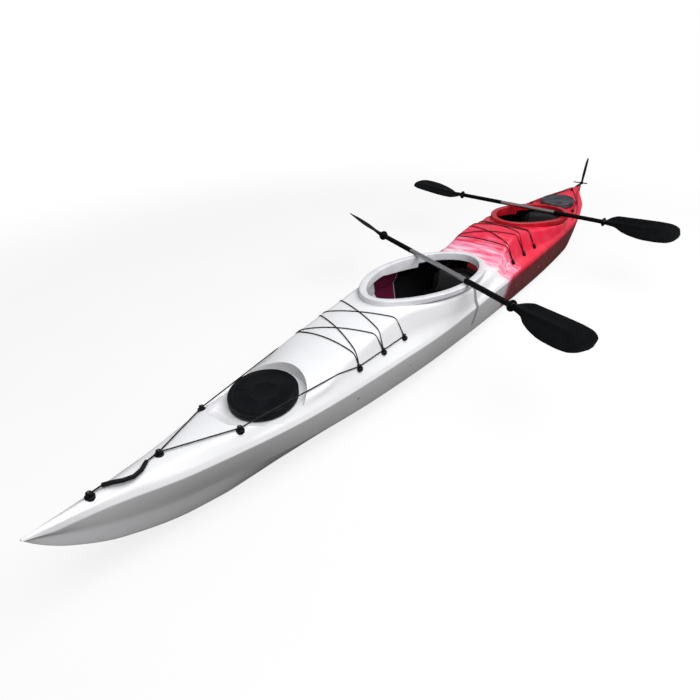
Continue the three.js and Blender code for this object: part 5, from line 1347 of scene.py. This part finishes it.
class KAYAK_OT_deck_eyes(bpy.types.Operator):
    """Turns the round deck eyes with their washers, posts and domed screws"""

    bl_idname = "kayak.deck_eyes"
    bl_label = "Deck eyes"

    def execute(self, context):
        screw_radius, screw_foot = 3.4, 19.4
        profile = [
            (0, -7), (16.5, -7), (16.5, 3), (16, 4.4), (14.6, 5.4), (12.5, 5.8), (9.5, 5.6), (8.4, 6.2),
            (7.6, 8), (7.4, 14), (8.2, 15.4), (9.6, 16), (10, 17), (9.6, 18.4), (8, 19.6), (5.6, 20),
            (3.6, 19.9), (screw_radius, screw_foot), (3.2, 20.1), (1.8, 20.5), (0, 20.5),
        ]
        model = spun("eye_model", profile, 32)
        for face in model.data.polygons:
            x, y, z = face.center / MM
            face.material_index = 1 if z > 19 and math.hypot(x, y) < screw_radius else 0
        smooth(model, 35)
        for node in [n for n in NODES if "_eye" in n]:
            x, y, base = [value * MM for value in eye_place(node)]
            eye = new_object(node + "_washer", model.data.copy())
            # No two eyes are turned alike.
            turn = Matrix.Rotation(x * 37 + y * 11, 4, "Z")
            placed(eye, Matrix.Translation((x, y, base)) @ turn)
            eye.data.materials.append(None)
            eye.data.materials.append(None)
            settle(eye, "boat", ["nylon", "stainless"], [node])
        bpy.data.objects.remove(model)
        return {"FINISHED"}


class KAYAK_OT_handle_and_strap(bpy.types.Operator):
    """Models the bow carrying handle and the strap on the port side"""

    bl_idname = "kayak.handle_and_strap"
    bl_label = "Handle and strap"

    def execute(self, context):
        hose = eased_copy("bow_handle", "bow_handle_hose", 0.8, 50)
        settle(hose, "boat", ["hose"], ["bow_handle"])
        settle(self.strap(), "boat", ["webbing"], ["side_strap"])
        return {"FINISHED"}

    @staticmethod
    def strap():
        """Webbing laid round the edge of the boat, from under the front rim down the port topside."""
        low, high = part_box("side_strap")
        x = (low.x + high.x) / 2 / MM
        section = [
            (y, z) for y, z in rounded_half(fine_section(x)) if z > low.z / MM and y > STRAP_INNER_END
        ]
        rings = []
        for k, (y, z) in enumerate(section):
            before, after = section[max(k - 1, 0)], section[min(k + 1, len(section) - 1)]
            along = Vector((after[0] - before[0], after[1] - before[1])).normalized()
            out_y, out_z = along.y, -along.x
            rings.append([
                (x + side * STRAP_WIDTH / 2, y + out_y * lift, z + out_z * lift)
                for side, lift in ((-1, -STRAP_SINK), (1, -STRAP_SINK), (1, STRAP_LIFT), (-1, STRAP_LIFT))
            ])
        return smooth(ring_surface("side_strap_webbing", rings), 40)


class KAYAK_OT_steering(bpy.types.Operator):
    """Finishes the rudder bracket, head and blade"""

    bl_idname = "kayak.steering"
    bl_label = "Rudder"

    def execute(self, context):
        for node in ("rudder_bracket", "rudder_head", "rudder_blade"):
            body = "boat" if node == "rudder_bracket" else node
            settle(eased_copy(node, node + "_moulding", 0.9), body, ["nylon"], [node])
        return {"FINISHED"}


class KAYAK_OT_paddles(bpy.types.Operator):
    """Models the four paddle halves: shaft, grips, ferrule, drip rings and spooned blades"""

    bl_idname = "kayak.paddles"
    bl_label = "Paddles"

    def execute(self, context):
        for end, spec, x, y, heading, port, starboard, length in (
            ("front", FRONT_COCKPIT, 187.9, -10.7, 60.95, 19, -32, 2380),
            ("rear", REAR_COCKPIT, -1428.1, -73, 82.94, 33, 12, 2252),
        ):
            angle = math.radians(heading)
            along = Vector((math.cos(angle), math.sin(angle), spec["slope"] * math.cos(angle))).normalized()
            side = Vector((-math.sin(angle), math.cos(angle), 0))
            up = along.cross(side)
            rise = (GRIP_RADIUS + GAP) * math.hypot(1, spec["slope"])
            centre = Vector((x, y, plane_height(spec, x) + rise)) * MM
            for hand, sign, tilt in (("port", 1, port), ("starboard", -1, -starboard)):
                piece = self.half(tilt, hand == "port", length / 2 - BLADE_LENGTH, end + "_tube")
                axes = Matrix((along * sign, side * sign, up)).transposed().to_4x4()
                placed(piece, Matrix.Translation(centre) @ axes)
                node = f"paddle_{end}_{hand}"
                piece.name = node + "_shaft"
                smooth(piece, 40)
                settle(piece, node, [], [node])
        return {"FINISHED"}

    def half(self, tilt, socket, throat, tube_finish):
        """One half along +X: tube, foam grip, ferrule, drip ring, throat and blade."""
        start = 0 if socket else GAP
        lie = Matrix.Rotation(math.pi / 2, 4, "Y")
        grip_end = throat - 30
        grip_start = grip_end - GRIP_LENGTH
        profiles = [
            ("tube", tube_finish, [
                (0, start), (14.2, start), (TUBE_RADIUS, start + 0.3), (TUBE_RADIUS, throat - 20),
                (0, throat - 20),
            ]),
            ("grip", "grip", [
                (SLEEVE_BORE, grip_start), (15.1, grip_start + 0.4), (GRIP_RADIUS, grip_start + 2),
                (GRIP_RADIUS, grip_end - 2), (15.1, grip_end + 2), (14.6, grip_end + 6),
                (SLEEVE_BORE, grip_end + 6),
            ]),
            ("ferrule", tube_finish, [
                (SLEEVE_BORE, start), (15.3, start), (15.3, 40), (14.7, 44), (SLEEVE_BORE, 44),
            ]),
            ("drip_ring", "nylon", [
                (SLEEVE_BORE, throat - 24), (17.5, throat - 23), (18.5, throat - 18), (19, throat - 13),
                (30, throat - 11.5), (30.6, throat - 9), (30.6, throat - 5), (29.4, throat - 2),
                (19, throat - 3), (18, throat + 4), (16, throat + 7), (SLEEVE_BORE, throat + 7),
            ]),
            ("throat", "blade", [
                (0, throat - 25), (14.4, throat - 25), (TUBE_RADIUS, throat + 25), (13.2, throat + 50),
                (9.5, throat + 80), (6, throat + 103), (0, throat + 107),
            ]),
        ]
        if not socket:
            profiles.append(("spigot", "nylon", [(0, -70), (9.6, -70), (11.2, -67), (11.2, 60), (0, 60)]))
        parts = []
        for name, finish, profile in profiles:
            part = placed(spun(name, profile, 36), lie)
            part.data.materials.append(finish_named(finish))
            parts.append(part)
        blade = self.blade(tilt, throat)
        blade.data.materials.append(finish_named("blade"))
        return join(parts + [blade], "paddle")

    @staticmethod
    def blade(tilt, throat):
        """A spooned blade with a spine that runs out towards its tip."""
        columns, rows = 44, 24
        turn = Matrix.Rotation(math.radians(tilt), 3, "X")

        def at(u, v, face):
            y = BLADE_WIDTH * mix(-curve_through(BLADE_LOWER, u), curve_through(BLADE_UPPER, u), v)
            bow = math.sin(math.pi * u * 0.55) ** 2
            cup = BLADE_CUP * (bow - (2 * v - 1) ** 2 / 4 * math.sin(math.pi * u))
            ridge = BLADE_RIDGE * (1 - u) * max(1 - abs(y) / (BLADE_WIDTH / 6), 0) ** 1.3
            rim = min(v, 1 - v, u * 2, (1 - u) * 2)
            thick = 2.5 * min(1, 0.35 + rim * 12)
            return turn @ Vector((throat + BLADE_LENGTH * u, y, cup + face * (thick + ridge)))

        points = [
            at((1 - math.cos(math.pi * i / columns)) / 2, k / rows, face)
            for face in (1, -1) for i in range(columns + 1) for k in range(rows + 1)
        ]
        return edit_mesh(from_faces("blade", points, two_sided_faces(columns, rows)), FACE_OUT)


class KAYAK_OT_small_fittings(bpy.types.Operator):
    """Adds the pan-head screws that hold the foot rails"""

    bl_idname = "kayak.small_fittings"
    bl_label = "Rail screws"

    def execute(self, context):
        radius = settings().screw_radius / MM
        screw = spun("screw_model", [
            (0, -1), (radius + 1.2, -1), (radius + 1.2, 0.5), (radius, 0.7), (radius, 1.2),
            (radius * 0.85, 2.2), (radius * 0.4, 2.8), (0, 2.9),
        ], 20)
        combine(screw, box_piece("cross_cut", (-0.5, -3, 2.0), (0.5, 3, 4), 0.05), "DIFFERENCE")
        smooth(screw, 35)
        for number, (x, z) in enumerate(RAIL_SCREWS):
            for hand, side in (("port", 1), ("starboard", -1)):
                place, normal = self.on_topside(x, z, side)
                piece = new_object(f"rail_screw_{number}_{hand}", screw.data.copy())
                turn = Vector((0, 0, 1)).rotation_difference(normal).to_matrix().to_4x4()
                placed(piece, Matrix.Translation(place * MM) @ turn)
                settle(piece, "boat", ["stainless"])
        bpy.data.objects.remove(screw)
        return {"FINISHED"}

    @staticmethod
    def on_topside(x, z, side):
        """The point of the topside at a height, and the direction that the side faces there."""
        keel_half = 60
        section = rounded_half(fine_section(x))
        candidates = [k for k in range(2, len(section) - 2) if section[k][0] >= keel_half]
        best = min(candidates, key=lambda k: abs(section[k][1] - z))
        y = section[best][0]
        (y0, z0), (y1, z1) = section[best - 1], section[best + 1]
        normal = Vector((0, (z1 - z0) * side, -(y1 - y0))).normalized()
        return Vector((x, y * side, section[best][1])), normal


class KAYAK_OT_studio(bpy.types.Operator):
    """Sets up the pale floor, the soft studio light and the camera"""

    bl_idname = "kayak.studio"
    bl_label = "Studio"

    def execute(self, context):
        deselect()
        bpy.ops.mesh.primitive_plane_add(size=90, location=(0, 0, CAD_BOX[0][2] - 0.001))
        floor = bpy.context.object
        floor.name = "studio_floor"
        bpy.ops.object.transform_apply(location=True, rotation=True, scale=True)
        floor.data.materials.append(studio_floor())
        self.softbox()
        self.world()
        self.camera()
        context.scene.view_settings.view_transform = "Standard"
        return {"FINISHED"}

    @staticmethod
    def softbox():
        """One wide softbox over the port side, aimed at the boat. Places in metres."""
        place, target = Vector((0, 2.2, 4.3)), Vector((0, 0, 0.2))
        lamp = bpy.data.lights.new("overhead_softbox", "AREA")
        lamp.shape = "RECTANGLE"
        lamp.size, lamp.size_y = 9.0, 3.4
        lamp.energy = 310
        piece = new_object("overhead_softbox", lamp)
        piece.location = place
        piece.rotation_euler = (target - place).to_track_quat("-Z", "Y").to_euler()

    @staticmethod
    def world():
        world = bpy.data.worlds.new("studio_world")
        bpy.context.scene.world = world
        world.use_nodes = True
        tree = world.node_tree
        soft = feed(tree, tree.nodes["Background"], Color=colour("#F4F6FA"), Strength=0.3)
        white = add_node(tree, "ShaderNodeBackground", Color=(1, 1, 1, 1), Strength=1.0)
        path = add_node(tree, "ShaderNodeLightPath")
        seen = maths(tree, "MAXIMUM", path.outputs["Is Camera Ray"], path.outputs["Is Transmission Ray"])
        mixed = add_node(tree, "ShaderNodeMixShader", i0=seen, i1=soft.outputs[0], i2=white.outputs[0])
        feed(tree, tree.nodes["World Output"], Surface=mixed.outputs[0])

    @staticmethod
    def camera():
        """The photograph's own viewpoint, in metres and degrees, with its focal length in image pixels."""
        place, focal_px, image_px = (2.876, 1.360, 1.621), 540.8, 700
        yaw, pitch, roll = (math.radians(angle) for angle in (216.755, -30.751, -0.384))
        level = math.cos(pitch)
        forward = Vector((math.cos(yaw) * level, math.sin(yaw) * level, math.sin(pitch)))
        right = forward.cross(Vector((0, 0, 1))).normalized()
        up = right.cross(forward)
        c, s = math.cos(roll), math.sin(roll)
        right, up = c * right + s * up, -s * right + c * up
        lens = bpy.data.cameras.new("photo_camera")
        lens.sensor_width = 36
        lens.lens = focal_px / image_px * lens.sensor_width
        lens.clip_end = 200
        camera = new_object("photo_camera", lens)
        basis = Matrix((right, up, -forward)).transposed().to_4x4()
        camera.matrix_world = Matrix.Translation(place) @ basis
        bpy.context.scene.camera = camera


class KAYAK_PT_panel(bpy.types.Panel):
    """Lists the kayak's settings and building steps"""

    bl_idname = "KAYAK_PT_panel"
    bl_label = "Sea kayak"
    bl_space_type = "VIEW_3D"
    bl_region_type = "UI"
    bl_category = "Kayak"

    def draw(self, context):
        for key in KayakSettings.__annotations__:
            self.layout.prop(context.scene.kayak, key)
        for step in STEPS:
            self.layout.operator(step.bl_idname)


STEPS = (
    KAYAK_OT_shell, KAYAK_OT_coamings, KAYAK_OT_hatches, KAYAK_OT_cockpit_fittings, KAYAK_OT_pads,
    KAYAK_OT_deck_lines, KAYAK_OT_deck_eyes, KAYAK_OT_handle_and_strap, KAYAK_OT_steering,
    KAYAK_OT_paddles, KAYAK_OT_small_fittings, KAYAK_OT_studio,
)


def register():
    bpy.utils.register_class(KayakSettings)
    for step in STEPS:
        bpy.utils.register_class(step)
    bpy.utils.register_class(KAYAK_PT_panel)
    bpy.types.Scene.kayak = bpy.props.PointerProperty(type=KayakSettings)


def unregister():
    del bpy.types.Scene.kayak
    bpy.utils.unregister_class(KAYAK_PT_panel)
    for step in reversed(STEPS):
        bpy.utils.unregister_class(step)
    bpy.utils.unregister_class(KayakSettings)


def main():
    register()
    for step in STEPS:
        group, action = step.bl_idname.split(".")
        getattr(getattr(bpy.ops, group), action)()


if __name__ == "__main__":
    main()
